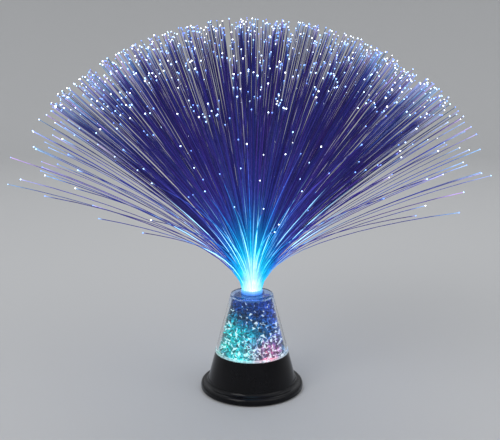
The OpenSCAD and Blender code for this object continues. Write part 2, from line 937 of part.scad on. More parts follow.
function strand_points(k, i) =
  let (
    outer = floor(i / k) * k + i % k,
    inner = floor(i / k) * (k - 1) + i % k,
    corners = [disc_place(k, outer), disc_place(k, outer + 1), disc_place(k - 1, inner)],
    root = sum(corners) / 3,
    turn = k == ring_count ? 0 : rands(-turn_jitter, turn_jitter, 1, 7 * k + 1000 * i)[0] / k,
    mid = 60 * (i + 0.5) / k,
    a = (k == ring_count ? 60 * i / k : mid) + turn,
    e_r = [cos(a), sin(a)],
    e_t = [-sin(a), cos(a)],
    tip = tip_angle(k, i),
    l = is_short(k, i) ? short_l : strand_l,
    steps = k > plain_rings ? strand_steps : inner_steps
  )
  [
    for (f = steps)
      let (
        s = f * l,
        h = heading(tip, s),
        p = reach(tip, s),
        size = foot_share + (tip_share - foot_share) * f
      )
      for (c = corners)
        let (
          u = (c - root) * e_r * size,
          t = (c - root) * e_t * size,
          xy = root + (p[0] + u * cos(h)) * e_r + t * e_t
        )
        [xy[0], xy[1], strand_root + p[1] - u * sin(h)]
  ];

module fibre_strands() {
  rim = 6 * ring_count;
  top = [
    for (k = [0:ring_count])
      for (i = [0:max(0, 6 * k - 1)])
        let (p = disc_place(k, i))
        [p[0], p[1], strand_root]
  ];
  low = strand_root - backing_t;
  bottom = [
    for (i = [0:rim - 1])
      let (p = disc_place(ring_count, i))
      [p[0], p[1], low]
  ];
  first_bottom = len(top);
  middle = first_bottom + rim;
  strands = [for (k = [1:ring_count]) for (i = [0:6 * k - 1]) [k, i]];
  lists = [for (q = strands) strand_points(q[0], q[1])];
  sizes = [for (p = lists) len(p)];
  starts = [
    for (n = 0, at = middle + 1; n < len(strands); at = at + sizes[n], n = n + 1) at
  ];
  walls = [
    for (n = [0:len(strands) - 1])
      let (
        k = strands[n][0],
        i = strands[n][1],
        sextant = floor(i / k),
        j = i % k,
        base = [
          disc_point(k, sextant * k + j),
          disc_point(k, sextant * k + j + 1),
          disc_point(k - 1, sextant * (k - 1) + j)
        ],
        rows = concat([base], [
          for (m = [0:sizes[n] / 3 - 1])
            [for (c = [0:2]) starts[n] + 3 * m + c]
        ]),
        end = rows[len(rows) - 1]
      )
      each concat(
        [
          for (m = [0:len(rows) - 2])
            for (c = [0:2])
              let (
                a = rows[m][c],
                b = rows[m][(c + 1) % 3],
                a2 = rows[m + 1][c],
                b2 = rows[m + 1][(c + 1) % 3]
              )
              each [[a, a2, b2], [a, b2, b]]
        ],
        [[end[0], end[2], end[1]]]
      )
  ];
  plate = [
    for (k = [2:ring_count])
      for (s = [0:5])
        for (j = [0:k - 2])
          [
            disc_point(k - 1, s * (k - 1) + j),
            disc_point(k - 1, s * (k - 1) + j + 1),
            disc_point(k, s * k + j + 1)
          ]
  ];
  rim_top = [for (i = [0:rim - 1]) disc_point(ring_count, i)];
  sides = [
    for (i = [0:rim - 1])
      let (j = (i + 1) % rim)
      each [
        [first_bottom + i, rim_top[i], rim_top[j]],
        [first_bottom + i, rim_top[j], first_bottom + j],
        [middle, first_bottom + i, first_bottom + j]
      ]
  ];
  echo(fibres = len(strands), faces = len(walls) + len(plate) + len(sides));
  color("#4f8cff")
    polyhedron(
      concat(top, bottom, [[0, 0, low]], [for (p = lists) each p]),
      concat(walls, plate, sides),
      convexity = 20
    );
}

base_shell();
bottom_cover();
cover_screws();
rubber_feet();
battery_door();
batteries();
battery_springs();
contact_plates();
switch_body();
switch_slider();
circuit_board();
board_screws();
controller_chip();
resistors();
battery_wires();
switch_wires();
reflector_cup();
led_centre();
led_red();
led_green();
led_blue();
light_deck();
light_tube();
crystal_cone();
crystals_lower();
crystals_middle();
crystals_upper();
ferrule();
bundle_core();
fibre_strands();
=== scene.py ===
import bpy
import math
import numpy as np
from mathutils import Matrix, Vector


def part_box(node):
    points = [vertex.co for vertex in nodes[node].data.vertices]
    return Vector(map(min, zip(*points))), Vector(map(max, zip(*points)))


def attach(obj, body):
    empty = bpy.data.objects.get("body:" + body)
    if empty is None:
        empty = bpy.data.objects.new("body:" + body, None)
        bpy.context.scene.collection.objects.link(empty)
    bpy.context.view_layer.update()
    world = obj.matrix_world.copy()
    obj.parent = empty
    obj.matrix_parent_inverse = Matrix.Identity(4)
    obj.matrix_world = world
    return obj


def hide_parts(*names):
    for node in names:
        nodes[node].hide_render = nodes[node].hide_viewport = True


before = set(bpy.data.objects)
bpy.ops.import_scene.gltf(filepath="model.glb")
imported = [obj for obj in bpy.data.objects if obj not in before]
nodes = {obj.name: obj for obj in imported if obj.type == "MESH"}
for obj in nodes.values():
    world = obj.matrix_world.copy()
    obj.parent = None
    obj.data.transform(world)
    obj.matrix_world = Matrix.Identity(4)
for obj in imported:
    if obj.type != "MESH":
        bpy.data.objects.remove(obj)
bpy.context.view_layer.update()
mm = 0.001
print("frame:", len(nodes), "nodes")


shot = {
    "distance": 0.701,  # from the lamp's axis to the camera
    "height": 0.306,
    "lookDown": 12.1,  # degrees
    "turnLeft": 0.14,  # degrees, puts the lamp just right of the middle
    "lens": 58.7,
}
studio = {
    "floorTone": 0.56,
    "flatRadius": 1.7,
    "bendRadius": 0.6,
    "bendSteps": 12,
    "wallHeight": 0.9,
    "ambient": 0.66,
    "ambientColor": (0.93, 0.96, 1.0),
    "lights": [  # name, place, what it points at, its two sides, power
        ("keyLight", (-1.1, -1.2, 1.5), (0, 0, 0.12), (1.1, 1.1), 11.0),
        ("fillLight", (1.3, -0.7, 1.2), (0, 0, 0.12), (1.3, 1.3), 4.0),
        ("topLight", (0.1, 0.9, 1.6), (0, 0, 0.1), (1.2, 0.8), 4.0)],
}


def makeCamera():
    data = bpy.data.cameras.new("shotCamera")
    data.lens = shot["lens"]
    data.sensor_width = 36
    camera = bpy.data.objects.new("shotCamera", data)
    bpy.context.scene.collection.objects.link(camera)
    camera.location = (0, -shot["distance"], shot["height"])
    camera.rotation_euler = (math.radians(90 - shot["lookDown"]), 0, math.radians(shot["turnLeft"]))
    bpy.context.scene.camera = camera


def linkObject(name, mesh):
    piece = bpy.data.objects.new(name, mesh)
    bpy.context.scene.collection.objects.link(piece)
    return piece


# a turned skin from (radius, height) points, open or closed along its outline
def turnedMesh(name, outline, segments=96, closed=False):
    verts, faces = [], []
    rows = []
    for radius, height in outline:
        if radius < 1e-7:
            rows.append([len(verts)])
            verts.append((0, 0, height))
            continue
        rows.append(list(range(len(verts), len(verts) + segments)))
        for i in range(segments):
            angle = 2 * math.pi * i / segments
            verts.append((radius * math.cos(angle), radius * math.sin(angle), height))
    count = len(rows) if closed else len(rows) - 1
    for k in range(count):
        low, high = rows[k], rows[(k + 1) % len(rows)]
        for i in range(segments):
            j = (i + 1) % segments
            a, b = low[i % len(low)], low[j % len(low)]
            c, d = high[j % len(high)], high[i % len(high)]
            corners = list(dict.fromkeys((a, b, c, d)))
            if len(corners) > 2:
                faces.append(corners)
    mesh = bpy.data.meshes.new(name)
    mesh.from_pydata(verts, [], faces)
    mesh.polygons.foreach_set("use_smooth", [True] * len(mesh.polygons))
    return mesh


def makeStudio(floorMaterial):
    flat, bend = studio["flatRadius"], studio["bendRadius"]
    outline = [(0, 0), (flat * 0.5, 0), (flat, 0)]
    for i in range(1, studio["bendSteps"] + 1):
        angle = math.radians(90 * i / studio["bendSteps"])
        outline.append((flat + bend * math.sin(angle), bend * (1 - math.cos(angle))))
    outline.append((flat + bend, studio["wallHeight"]))
    floor = linkObject("studioFloor", turnedMesh("studioFloor", outline))
    floor.data.materials.append(floorMaterial)


def makeAreaLight(name, place, target, size, power):
    data = bpy.data.lights.new(name, "AREA")
    data.shape = "RECTANGLE"
    data.size, data.size_y = size
    data.energy = power
    light = bpy.data.objects.new(name, data)
    bpy.context.scene.collection.objects.link(light)
    light.location = place
    light.rotation_euler = (Vector(target) - Vector(place)).to_track_quat("-Z", "Y").to_euler()
    light.visible_camera = False


def makeLights():
    for light in studio["lights"]:
        makeAreaLight(*light)
    world = bpy.data.worlds.new("studioWorld")
    bpy.context.scene.world = world
    world.use_nodes = True
    background = world.node_tree.nodes["Background"]
    background.inputs["Color"].default_value = (*studio["ambientColor"], 1)
    background.inputs["Strength"].default_value = studio["ambient"]
    bpy.context.scene.view_settings.view_transform = "Standard"


def feed(tree, socket, value):  # a link where value is a socket, else a plain value
    if isinstance(value, bpy.types.NodeSocket):
        tree.links.new(value, socket)
    elif isinstance(value, tuple) and len(value) == 3 and len(getattr(socket, "default_value", value)) == 4:
        socket.default_value = (*value, 1.0)
    else:
        socket.default_value = value


def addNode(tree, kind, inputs=None, **settings):
    node = tree.nodes.new(kind)
    for name, value in settings.items():
        setattr(node, name, value)
    for name, value in (inputs or {}).items():
        feed(tree, node.inputs[name], value)
    return node


def calc(tree, operation, a, b=0.0, clamp=False):
    return addNode(tree, "ShaderNodeMath", {0: a, 1: b}, operation=operation, use_clamp=clamp).outputs[0]


def vectorCalc(tree, operation, inputs, result="Vector"):
    return addNode(tree, "ShaderNodeVectorMath", inputs, operation=operation).outputs[result]


def blendColors(tree, factor, a, b, mode="MIX"):
    node = addNode(tree, "ShaderNodeMix", data_type="RGBA", blend_type=mode)
    feed(tree, node.inputs[0], factor)
    feed(tree, node.inputs[6], a)
    feed(tree, node.inputs[7], b)
    return node.outputs[2]


def spread(tree, value, low, high, newLow=0.0, newHigh=1.0):
    inputs = {"Value": value, "From Min": low, "From Max": high, "To Min": newLow, "To Max": newHigh}
    return addNode(tree, "ShaderNodeMapRange", inputs, clamp=True).outputs["Result"]


def ramp(tree, factor, stops):
    node = addNode(tree, "ShaderNodeValToRGB", {"Fac": factor})
    elements = node.color_ramp.elements
    while len(elements) < len(stops):
        elements.new(0.5)
    for element, (place, color) in zip(elements, stops):
        element.position = place
        element.color = (*color, 1.0)
    return node.outputs["Color"]


def between(tree, value, low, high):
    over = calc(tree, "GREATER_THAN", value, low)
    return calc(tree, "MULTIPLY", over, calc(tree, "LESS_THAN", value, high))


def multiply(tree, a, b):
    return blendColors(tree, 1.0, a, b, "MULTIPLY")


def scaleColor(tree, color, value):
    parts = {"Red": value, "Green": value, "Blue": value}
    return multiply(tree, color, addNode(tree, "ShaderNodeCombineColor", parts).outputs["Color"])


def addColors(tree, a, b):
    return blendColors(tree, 1.0, a, b, "ADD")


def noise(tree, scale, detail=3.0, roughness=0.5, vector=None):
    inputs = {"Scale": scale, "Detail": detail, "Roughness": roughness}
    inputs["Vector"] = vector or objectPlace(tree)
    return addNode(tree, "ShaderNodeTexNoise", inputs).outputs["Fac"]


def objectPlace(tree):
    return addNode(tree, "ShaderNodeTexCoord").outputs["Object"]


def placeParts(tree, vector=None):
    node = addNode(tree, "ShaderNodeSeparateXYZ", {"Vector": vector or objectPlace(tree)})
    return node.outputs["X"], node.outputs["Y"], node.outputs["Z"]


def flatPlace(tree, x, y):
    return addNode(tree, "ShaderNodeCombineXYZ", {"X": x, "Y": y}).outputs[0]


# 1 on faces that look up, -1 on those that look down
def facingUp(tree):
    return placeParts(tree, addNode(tree, "ShaderNodeNewGeometry").outputs["Normal"])[2]


def newMaterial(name):
    material = bpy.data.materials.new(name)
    material.use_nodes = True
    return material, material.node_tree, material.node_tree.nodes["Principled BSDF"]


def setShader(tree, shader, **values):
    names = {
        "color": "Base Color", "rough": "Roughness", "metal": "Metallic", "normal": "Normal",
        "ior": "IOR", "specular": "Specular IOR Level", "glass": "Transmission Weight",
        "glow": "Emission Color", "glowStrength": "Emission Strength",
    }
    for key, value in values.items():
        feed(tree, shader.inputs[names[key]], value)


def newGroup(name, inputs, outputs):
    group = bpy.data.node_groups.new(name, "ShaderNodeTree")
    for title, value in inputs:
        socket = group.interface.new_socket(title, in_out="INPUT", socket_type="NodeSocketFloat")
        socket.default_value = value
    for title, kind in outputs:
        group.interface.new_socket(title, in_out="OUTPUT", socket_type="NodeSocket" + kind)
    return group, group.nodes.new("NodeGroupInput"), group.nodes.new("NodeGroupOutput")


# fine relief and uneven gloss of a moulded or drawn surface
def makeFinishGroup():
    group, given, out = newGroup(
        "mouldedFinish",
        [("Roughness", 0.4), ("Spread", 0.1), ("Grain Scale", 1500.0), ("Relief", 0.1)],
        [("Roughness", "Float"), ("Normal", "Vector"), ("Tone", "Float")])
    grain = noise(group, given.outputs["Grain Scale"], 4.0, 0.6)
    broad = noise(group, 45.0, 5.0, 0.62)
    uneven = calc(group, "SUBTRACT", calc(group, "ADD", grain, broad), 1.0)
    change = calc(group, "MULTIPLY", uneven, given.outputs["Spread"])
    rough = calc(group, "ADD", given.outputs["Roughness"], change)
    bump = addNode(group, "ShaderNodeBump", {
        "Strength": given.outputs["Relief"], "Distance": 0.0002, "Height": grain})
    feed(group, out.inputs["Roughness"], calc(group, "MAXIMUM", rough, 0.02))
    feed(group, out.inputs["Normal"], bump.outputs["Normal"])
    feed(group, out.inputs["Tone"], broad)
    return group


# dust on faces that look up, and hair-fine scuffs all round
def makeHandlingGroup():
    group, given, out = newGroup(
        "handling", [("Dust", 0.3), ("Scuffs", 0.3)],
        [("Dust", "Float"), ("Scuffs", "Float")])
    facing = facingUp(group)
    specks = spread(group, noise(group, 900.0, 2.0, 0.7), 0.56, 0.74)
    film = spread(group, noise(group, 60.0, 4.0, 0.6), 0.3, 0.8, 0.1, 0.6)
    lying = calc(group, "MULTIPLY", calc(group, "MAXIMUM", specks, film), spread(group, facing, 0.1, 0.9))
    stretched = addNode(group, "ShaderNodeMapping", {
        "Vector": objectPlace(group), "Scale": (1.0, 0.12, 0.5)})
    lines = noise(group, 1600.0, 2.0, 0.8, stretched.outputs["Vector"])
    patches = spread(group, noise(group, 30.0), 0.45, 0.7)
    scuffs = calc(group, "MULTIPLY", spread(group, lines, 0.62, 0.72), patches)
    feed(group, out.inputs["Dust"], calc(group, "MULTIPLY", lying, given.outputs["Dust"]))
    feed(group, out.inputs["Scuffs"], calc(group, "MULTIPLY", scuffs, given.outputs["Scuffs"]))
    return group


finishGroup = makeFinishGroup()
handlingGroup = makeHandlingGroup()


def finishOf(tree, roughness, spreadBy, grainScale, relief):
    node = addNode(tree, "ShaderNodeGroup", node_tree=finishGroup)
    for name, value in (("Roughness", roughness), ("Spread", spreadBy),
                        ("Grain Scale", grainScale), ("Relief", relief)):
        node.inputs[name].default_value = value
    return node.outputs["Roughness"], node.outputs["Normal"], node.outputs["Tone"]


def handlingOf(tree, dust, scuffs):
    node = addNode(tree, "ShaderNodeGroup", node_tree=handlingGroup)
    node.inputs["Dust"].default_value = dust
    node.inputs["Scuffs"].default_value = scuffs
    return node.outputs["Dust"], node.outputs["Scuffs"]


# roughness where dust or scuffs lie on a surface
def wornRough(tree, rough, dustMask, scuffMask, by):
    worn = calc(tree, "MULTIPLY", calc(tree, "MAXIMUM", dustMask, scuffMask), by)
    return calc(tree, "ADD", rough, worn, True)


def makeMoulded(name, dark, pale, roughness, spreadBy, grain, relief, dust, scuffs, specular, metal=0.0):
    material, tree, shader = newMaterial(name)
    rough, normal, tone = finishOf(tree, roughness, spreadBy, grain, relief)
    dustMask, scuffMask = handlingOf(tree, dust, scuffs)
    color = blendColors(tree, spread(tree, tone, 0.3, 0.7), dark, pale)
    color = blendColors(tree, dustMask, color, (0.34, 0.33, 0.31))
    rough = wornRough(tree, rough, dustMask, scuffMask, 0.35)
    setShader(tree, shader, color=color, rough=rough, normal=normal, specular=specular, metal=metal)
    return material


def makeFloorMaterial():
    material, tree, shader = newMaterial("paperFloor")
    tone = studio["floorTone"]
    fibre = noise(tree, 300.0, 4.0, 0.6)
    color = blendColors(tree, fibre, (tone * 0.985,) * 3, (tone * 1.015,) * 3)
    setShader(tree, shader, color=color, rough=0.85, specular=0.2)
    return material


collar = {
    "rise": 3.7 * mm,  # from the cone's top to the collar's
    "rimStep": 0.8 * mm,
    "shoulder": 1.2 * mm,
    "shoulderSteps": 6,
    "lip": 0.7 * mm,
    "lipHeight": 1.0 * mm,
    "play": 0.05 * mm,  # round the potted bundle
    "paintedGlowFrom": 1 * mm,  # below the cone's top
    "tintFrom": 0.4 * mm,  # below the cone's top
    "tintTo": 0.3 * mm,  # above it
}


def collarTop():
    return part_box("crystal_cone")[1].z + collar["rise"]


def makeFerruleMaterial():
    material, tree, shader = newMaterial("clearSleeve")
    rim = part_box("crystal_cone")[1].z
    z = placeParts(tree)[2]
    rough, normal, tone = finishOf(tree, 0.12, 0.06, 1100.0, 0.04)
    # painted light: the sleeve glows with the bundle's light, dark just below the cone's top and brightest
    # at the collar's top
    light = ramp(tree, spread(tree, z, rim - collar["paintedGlowFrom"], rim + collar["rise"]), [
        (0.0, (0.0, 0.004, 0.02)), (0.25, (0.02, 0.08, 0.32)), (0.6, (0.04, 0.16, 0.44)),
        (1.0, (0.14, 0.34, 0.66))])
    raised = spread(tree, z, rim - collar["tintFrom"], rim + collar["tintTo"])
    color = blendColors(tree, raised, (0.6, 0.78, 1.0), (0.07, 0.24, 0.62))
    setShader(tree, shader, color=color, rough=rough, normal=normal, ior=1.42, glass=0.4, glow=light,
              glowStrength=1.0)
    return material


# clear sleeve of the spray, whose rounded collar stands on the cone
def makeCollar():
    low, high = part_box("ferrule")
    seat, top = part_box("crystal_cone")[1].z, collarTop()
    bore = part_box("bundle_core")[1].x + collar["play"]
    lipR, sleeveR, shoulder = bore - collar["lip"], high.x - collar["rimStep"], collar["shoulder"]
    outline = [(lipR, low.z), (sleeveR, low.z), (sleeveR, seat), (high.x, seat)]
    for i in range(collar["shoulderSteps"] + 1):
        angle = math.radians(90 * i / collar["shoulderSteps"])
        outline.append((high.x - shoulder * (1 - math.cos(angle)), top - shoulder * (1 - math.sin(angle))))
    lipTop = low.z + collar["lipHeight"]
    outline += [(bore, top), (bore, lipTop), (lipR, lipTop)]
    mesh = turnedMesh("sleeveCollar", outline, closed=True)
    mesh.set_sharp_from_angle(angle=math.radians(30))
    mesh.materials.append(makeFerruleMaterial())
    piece = linkObject("sleeveCollar", mesh)
    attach(piece, "spray")
    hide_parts("ferrule")
    print("sleeve with its collar:", len(mesh.polygons), "faces")


spray = {
    "fibres": 1550,
    "strays": 190,  # sparse wide fibres outside the dense fan
    "shortFibres": 60,
    "streakFibres": 60,  # these shine along a stretch of their side
    "streakFrom": 0.25,  # share of the fibres, from the middle, that have none
    "brightStrays": 30,
    "diameter": 0.54 * mm,
    "sides": 4,
    "pointsEach": 13,
    "crowding": 1.35,  # draws the points of a fibre towards its root
    "fineSteps": 6,  # steps of the path from one point to the next
    "denseAngle": 48.0,  # degrees from upright
    "widestAngle": 69.2,
    "thinning": 2.0,  # how soon the strays grow sparse
    "strayFrom": 3,  # degrees past the dense angle from which a fibre is drawn as a stray
    "tipScatter": 1.0,  # degrees
    "turnScatter": 5,
    "sway": 3.5,
    "rootMargin": 0.2 * mm,
    "rootLift": 0.2 * mm,  # the fibres spread from here, above the collar
    "rootBend": 0.72,
    "bendLength": 35 * mm,
    "droop": 10.0,
    "unevenLength": 0.045,
    "strayUneven": 0.32,
    "shortLength": (0.4, 0.85),
    "clumps": 130,
    "clumpPull": 0.4,
    "pullRange": (0.4, 1.3),
    "tipRadius": 0.52 * mm,
    "tipSize": (0.75, 1.15),
    "tipGlow": (0.1, 1.0),
    "rootThickness": 0.75,
    "thickening": 1.5,
    "strayThickness": 0.72,
    "glow": (0.35, 1.15),
    "strayGlow": 0.8,
    "endShare": 0.07,  # of a fibre's length, which brightens towards the tip
    "seed": 29,
}
# least and most strength of a streak, its middle and its span as shares of the longest fibre
streaks = {
    "usual": ((0.4, 2.2), (0.12, 0.42), (0.07, 0.13)),
    "bright": ((1.8, 3.2), (0.2, 0.34), (0.1, 0.15)),
}
fade = {
    "onset": 0.02,  # where the sides and the front start to differ
    "onsetLength": 0.12,
    "pace": 0.85,
    "sidePace": 0.5,
    "frontPace": 0.95,
    "edgeStart": 0.055,  # share of the ramp that the outermost fibres at the sides start at
    "edgeFront": 0.65,
    "end": 0.93,
}


def fibrePaths():
    rng = np.random.default_rng(spray["seed"])
    low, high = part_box("fibre_strands")
    rootHeight = collarTop() + spray["rootLift"]
    fullLength = high.z - rootHeight
    total, strays = spray["fibres"], spray["strays"]
    dense = total - strays
    share = (np.arange(total) + 0.5) / total
    rootR = (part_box("bundle_core")[1].x - spray["rootMargin"]) * np.sqrt(share)
    rootTurn = np.arange(total) * math.pi * (3 - math.sqrt(5))
    # even over the dome for the dense part, thinning out past it
    capShare = np.clip((np.arange(total) + 0.5) / dense, 0, 1)
    tip = np.degrees(np.arccos(1 - capShare * (1 - math.cos(math.radians(spray["denseAngle"])))))
    past = np.clip((np.arange(total) - dense) / strays, 0, 1)
    tip += past ** spray["thinning"] * (spray["widestAngle"] - spray["denseAngle"])
    tip += rng.normal(0, spray["tipScatter"], total) * (past == 0)
    turn = rootTurn + np.radians(rng.normal(0, spray["turnScatter"], total))
    flat = tip[:, None] * np.stack([np.cos(turn), np.sin(turn)], 1)
    # fibres of a clump lean towards its middle
    middles = flat[rng.choice(dense, spray["clumps"], replace=False)]
    near = middles[((flat[:, None, :] - middles[None]) ** 2).sum(2).argmin(1)]
    pull = spray["clumpPull"] * rng.uniform(*spray["pullRange"], total) * (past == 0)
    flat += (near - flat) * pull[:, None]
    tip = np.clip(np.linalg.norm(flat, axis=1), 0, spray["widestAngle"] + 1)
    turn = np.arctan2(flat[:, 1], flat[:, 0])
    uneven = spray["unevenLength"] * rng.uniform(0, 1, total) ** 2
    length = fullLength * (1 - uneven) - 2 * spray["tipRadius"]
    shortOnes = rng.choice(total, spray["shortFibres"], replace=False)
    length[shortOnes] *= rng.uniform(*spray["shortLength"], spray["shortFibres"])
    shorter = np.random.default_rng(spray["seed"] + 1).uniform(0, 1, total) ** 3
    length *= 1 - spray["strayUneven"] * shorter * (past > 0)
    sway = np.radians(rng.normal(0, spray["sway"], total))

    n, fine = spray["pointsEach"], spray["fineSteps"]
    steps = np.linspace(0, 1, n) ** spray["crowding"]
    paths = np.zeros((total, n, 3))
    here = np.stack([rootR * np.cos(rootTurn), rootR * np.sin(rootTurn), np.full(total, rootHeight)], 1)
    paths[:, 0] = here
    paths[:, 0, 2] = low.z  # straight up out of the potted end
    for k in range(1, n):
        for m in range(fine):
            f = steps[k - 1] + (steps[k] - steps[k - 1]) * (m + 0.5) / fine
            ds = length * (steps[k] - steps[k - 1]) / fine
            s = f * length
            bend = 1 - spray["rootBend"] * np.exp(-s / spray["bendLength"])
            lean = np.radians(tip * bend + spray["droop"] * np.sin(np.radians(tip)) * (s / fullLength) ** 2)
            way = turn + sway * f ** 2
            here = here + ds[:, None] * np.stack(
                [np.sin(lean) * np.cos(way), np.sin(lean) * np.sin(way), np.cos(lean)], 1)
        paths[:, k] = here
    along = steps[None, :] * (length / fullLength)[:, None]
    return paths, along, tip, turn, rng


def makeGuideMesh(name, paths, values):
    total, n = paths.shape[:2]
    mesh = bpy.data.meshes.new(name)
    first = np.arange(total)[:, None] * n + np.arange(n - 1)[None]
    edges = np.stack([first, first + 1], 2).reshape(-1, 2)
    mesh.from_pydata(paths.reshape(-1, 3).tolist(), edges.tolist(), [])
    for key, value in values.items():
        attribute = mesh.attributes.new(key, "FLOAT", "POINT")
        attribute.data.foreach_set("value", value.astype(np.float32).ravel())
    return mesh


def newGeometryTree(name, inputs):
    tree = bpy.data.node_groups.new(name, "GeometryNodeTree")
    tree.interface.new_socket("Geometry", in_out="INPUT", socket_type="NodeSocketGeometry")
    for title, kind in inputs:
        tree.interface.new_socket(title, in_out="INPUT", socket_type="NodeSocket" + kind)
    tree.interface.new_socket("Geometry", in_out="OUTPUT", socket_type="NodeSocketGeometry")
    return tree, tree.nodes.new("NodeGroupInput"), tree.nodes.new("NodeGroupOutput")


def geometryNode(tree, kind, inputs=None, **settings):  # gives the node's first output
    return addNode(tree, "GeometryNode" + kind, inputs, **settings).outputs[0]


def namedValue(tree, name, kind="FLOAT"):
    return geometryNode(tree, "InputNamedAttribute", {"Name": name}, data_type=kind)


def finishTree(tree, geometry, material):
    real = geometryNode(tree, "RealizeInstances", {"Geometry": geometry})
    return geometryNode(tree, "SetMaterial", {"Geometry": real, "Material": material})


# runs a tree on a guide mesh and keeps the result as a plain mesh
def growPiece(name, guide, tree, values):
    piece = linkObject(name, guide)
    modifier = piece.modifiers.new("grow", "NODES")
    modifier.node_group = tree
    for item in tree.interface.items_tree:
        if item.in_out == "INPUT" and item.name in values:
            modifier[item.identifier] = values[item.name]
    bpy.context.view_layer.update()
    result = bpy.data.meshes.new_from_object(piece.evaluated_get(bpy.context.evaluated_depsgraph_get()))
    piece.modifiers.remove(modifier)
    piece.data = result
    result.name = name
    return piece


def makeFibreTree():
    tree, given, out = newGeometryTree("fibreStrands", [
        ("Radius", "Float"), ("Sides", "Int"), ("Tip Radius", "Float"),
        ("Strand Finish", "Material"), ("Tip Finish", "Material")])
    curves = geometryNode(tree, "MeshToCurve", {"Mesh": given.outputs["Geometry"]})
    sized = geometryNode(tree, "SetCurveRadius", {
        "Curve": curves, "Radius": namedValue(tree, "thickness")})
    section = geometryNode(tree, "CurvePrimitiveCircle", {
        "Resolution": given.outputs["Sides"], "Radius": given.outputs["Radius"]})
    strands = geometryNode(tree, "CurveToMesh", {
        "Curve": sized, "Profile Curve": section, "Fill Caps": True})
    smooth = geometryNode(tree, "SetShadeSmooth", {"Geometry": strands})
    strandPart = finishTree(tree, smooth, given.outputs["Strand Finish"])
    ends = geometryNode(tree, "CurveEndpointSelection", {"Start Size": 0, "End Size": 1})
    bead = geometryNode(tree, "MeshIcoSphere", {
        "Radius": given.outputs["Tip Radius"], "Subdivisions": 1})
    beads = geometryNode(tree, "InstanceOnPoints", {
        "Points": curves, "Selection": ends, "Instance": bead, "Scale": namedValue(tree, "tipSize")})
    tipPart = finishTree(tree, beads, given.outputs["Tip Finish"])
    both = addNode(tree, "GeometryNodeJoinGeometry")
    tree.links.new(strandPart, both.inputs[0])
    tree.links.new(tipPart, both.inputs[0])
    feed(tree, out.inputs["Geometry"], both.outputs["Geometry"])
    return tree


def attributeValue(tree, name):
    return addNode(tree, "ShaderNodeAttribute", attribute_name=name).outputs["Fac"]


def makeStrandMaterial():
    material, tree, shader = newMaterial("opticalFibre")
    shade = attributeValue(tree, "shade")
    light = ramp(tree, shade, [
        (0.0, (0.9, 0.82, 0.88)), (0.038, (0.88, 0.95, 1.0)), (0.066, (0.38, 0.82, 1.0)),
        (0.1, (0.008, 0.58, 0.96)), (0.16, (0.003, 0.25, 0.68)), (0.215, (0.01, 0.095, 0.45)),
        (0.29, (0.028, 0.04, 0.33)), (0.39, (0.025, 0.022, 0.22)), (0.55, (0.02, 0.015, 0.165)),
        (0.8, (0.018, 0.014, 0.15)), (0.93, (0.03, 0.05, 0.28)), (1.0, (0.3, 0.5, 1.0))])
    purple = blendColors(tree, attributeValue(tree, "hue"), (0.85, 1.1, 1.0), (2.0, 0.75, 0.9))
    tinted = blendColors(tree, spread(tree, shade, 0.1, 0.35), light, multiply(tree, light, purple))
    uneven = spread(tree, noise(tree, 140.0, 3.0, 0.7), 0.35, 0.75, 0.6, 1.3)
    nearRoot = spread(tree, shade, 0.06, 0.3, 1.0, 0.0)
    level = calc(tree, "MAXIMUM", calc(tree, "MULTIPLY", attributeValue(tree, "glow"), uneven), nearRoot)
    plain = scaleColor(tree, tinted, level)
    streak = scaleColor(tree, (0.3, 0.68, 1.0), attributeValue(tree, "streak"))
    # painted tint of the fibres' light: the base colour is bluer near the root and darkens along the fibre
    # as its light fades
    clear = blendColors(tree, shade, (0.02, 0.05, 0.12), (0.006, 0.006, 0.03))
    rough, normal, tone = finishOf(tree, 0.28, 0.1, 1800.0, 0.05)
    setShader(tree, shader, color=clear, rough=rough, normal=normal, specular=0.1,
              glow=addColors(tree, plain, streak), glowStrength=1.0)
    return material


def makeTipMaterial():
    material, tree, shader = newMaterial("fibreTip")
    light = ramp(tree, attributeValue(tree, "tipGlow"), [
        (0.0, (0.02, 0.05, 0.3)), (0.35, (0.08, 0.2, 0.7)), (0.65, (0.4, 0.62, 1.0)),
        (1.0, (1.0, 1.0, 1.0))])
    rough, normal, tone = finishOf(tree, 0.2, 0.1, 2500.0, 0.05)
    setShader(tree, shader, color=(0.3, 0.36, 0.5), rough=rough, normal=normal, glow=light, glowStrength=4.5)
    return material


# how far the light has faded at each point; fibres that lean forwards or back keep it longer
def fadeAlong(along, tip, turn):
    lean = np.clip(tip / spray["denseAngle"], 0, 1.2)[:, None] ** 2
    facing = (np.sin(turn) ** 2)[:, None]
    onset = np.clip((along - fade["onset"]) / fade["onsetLength"], 0, 1)
    pace = fade["pace"] + lean * onset * (fade["sidePace"] - fade["frontPace"] * facing)
    start = fade["edgeStart"] * lean * (1 - fade["edgeFront"] * facing)
    return np.clip(along * pace + start, 0, fade["end"])


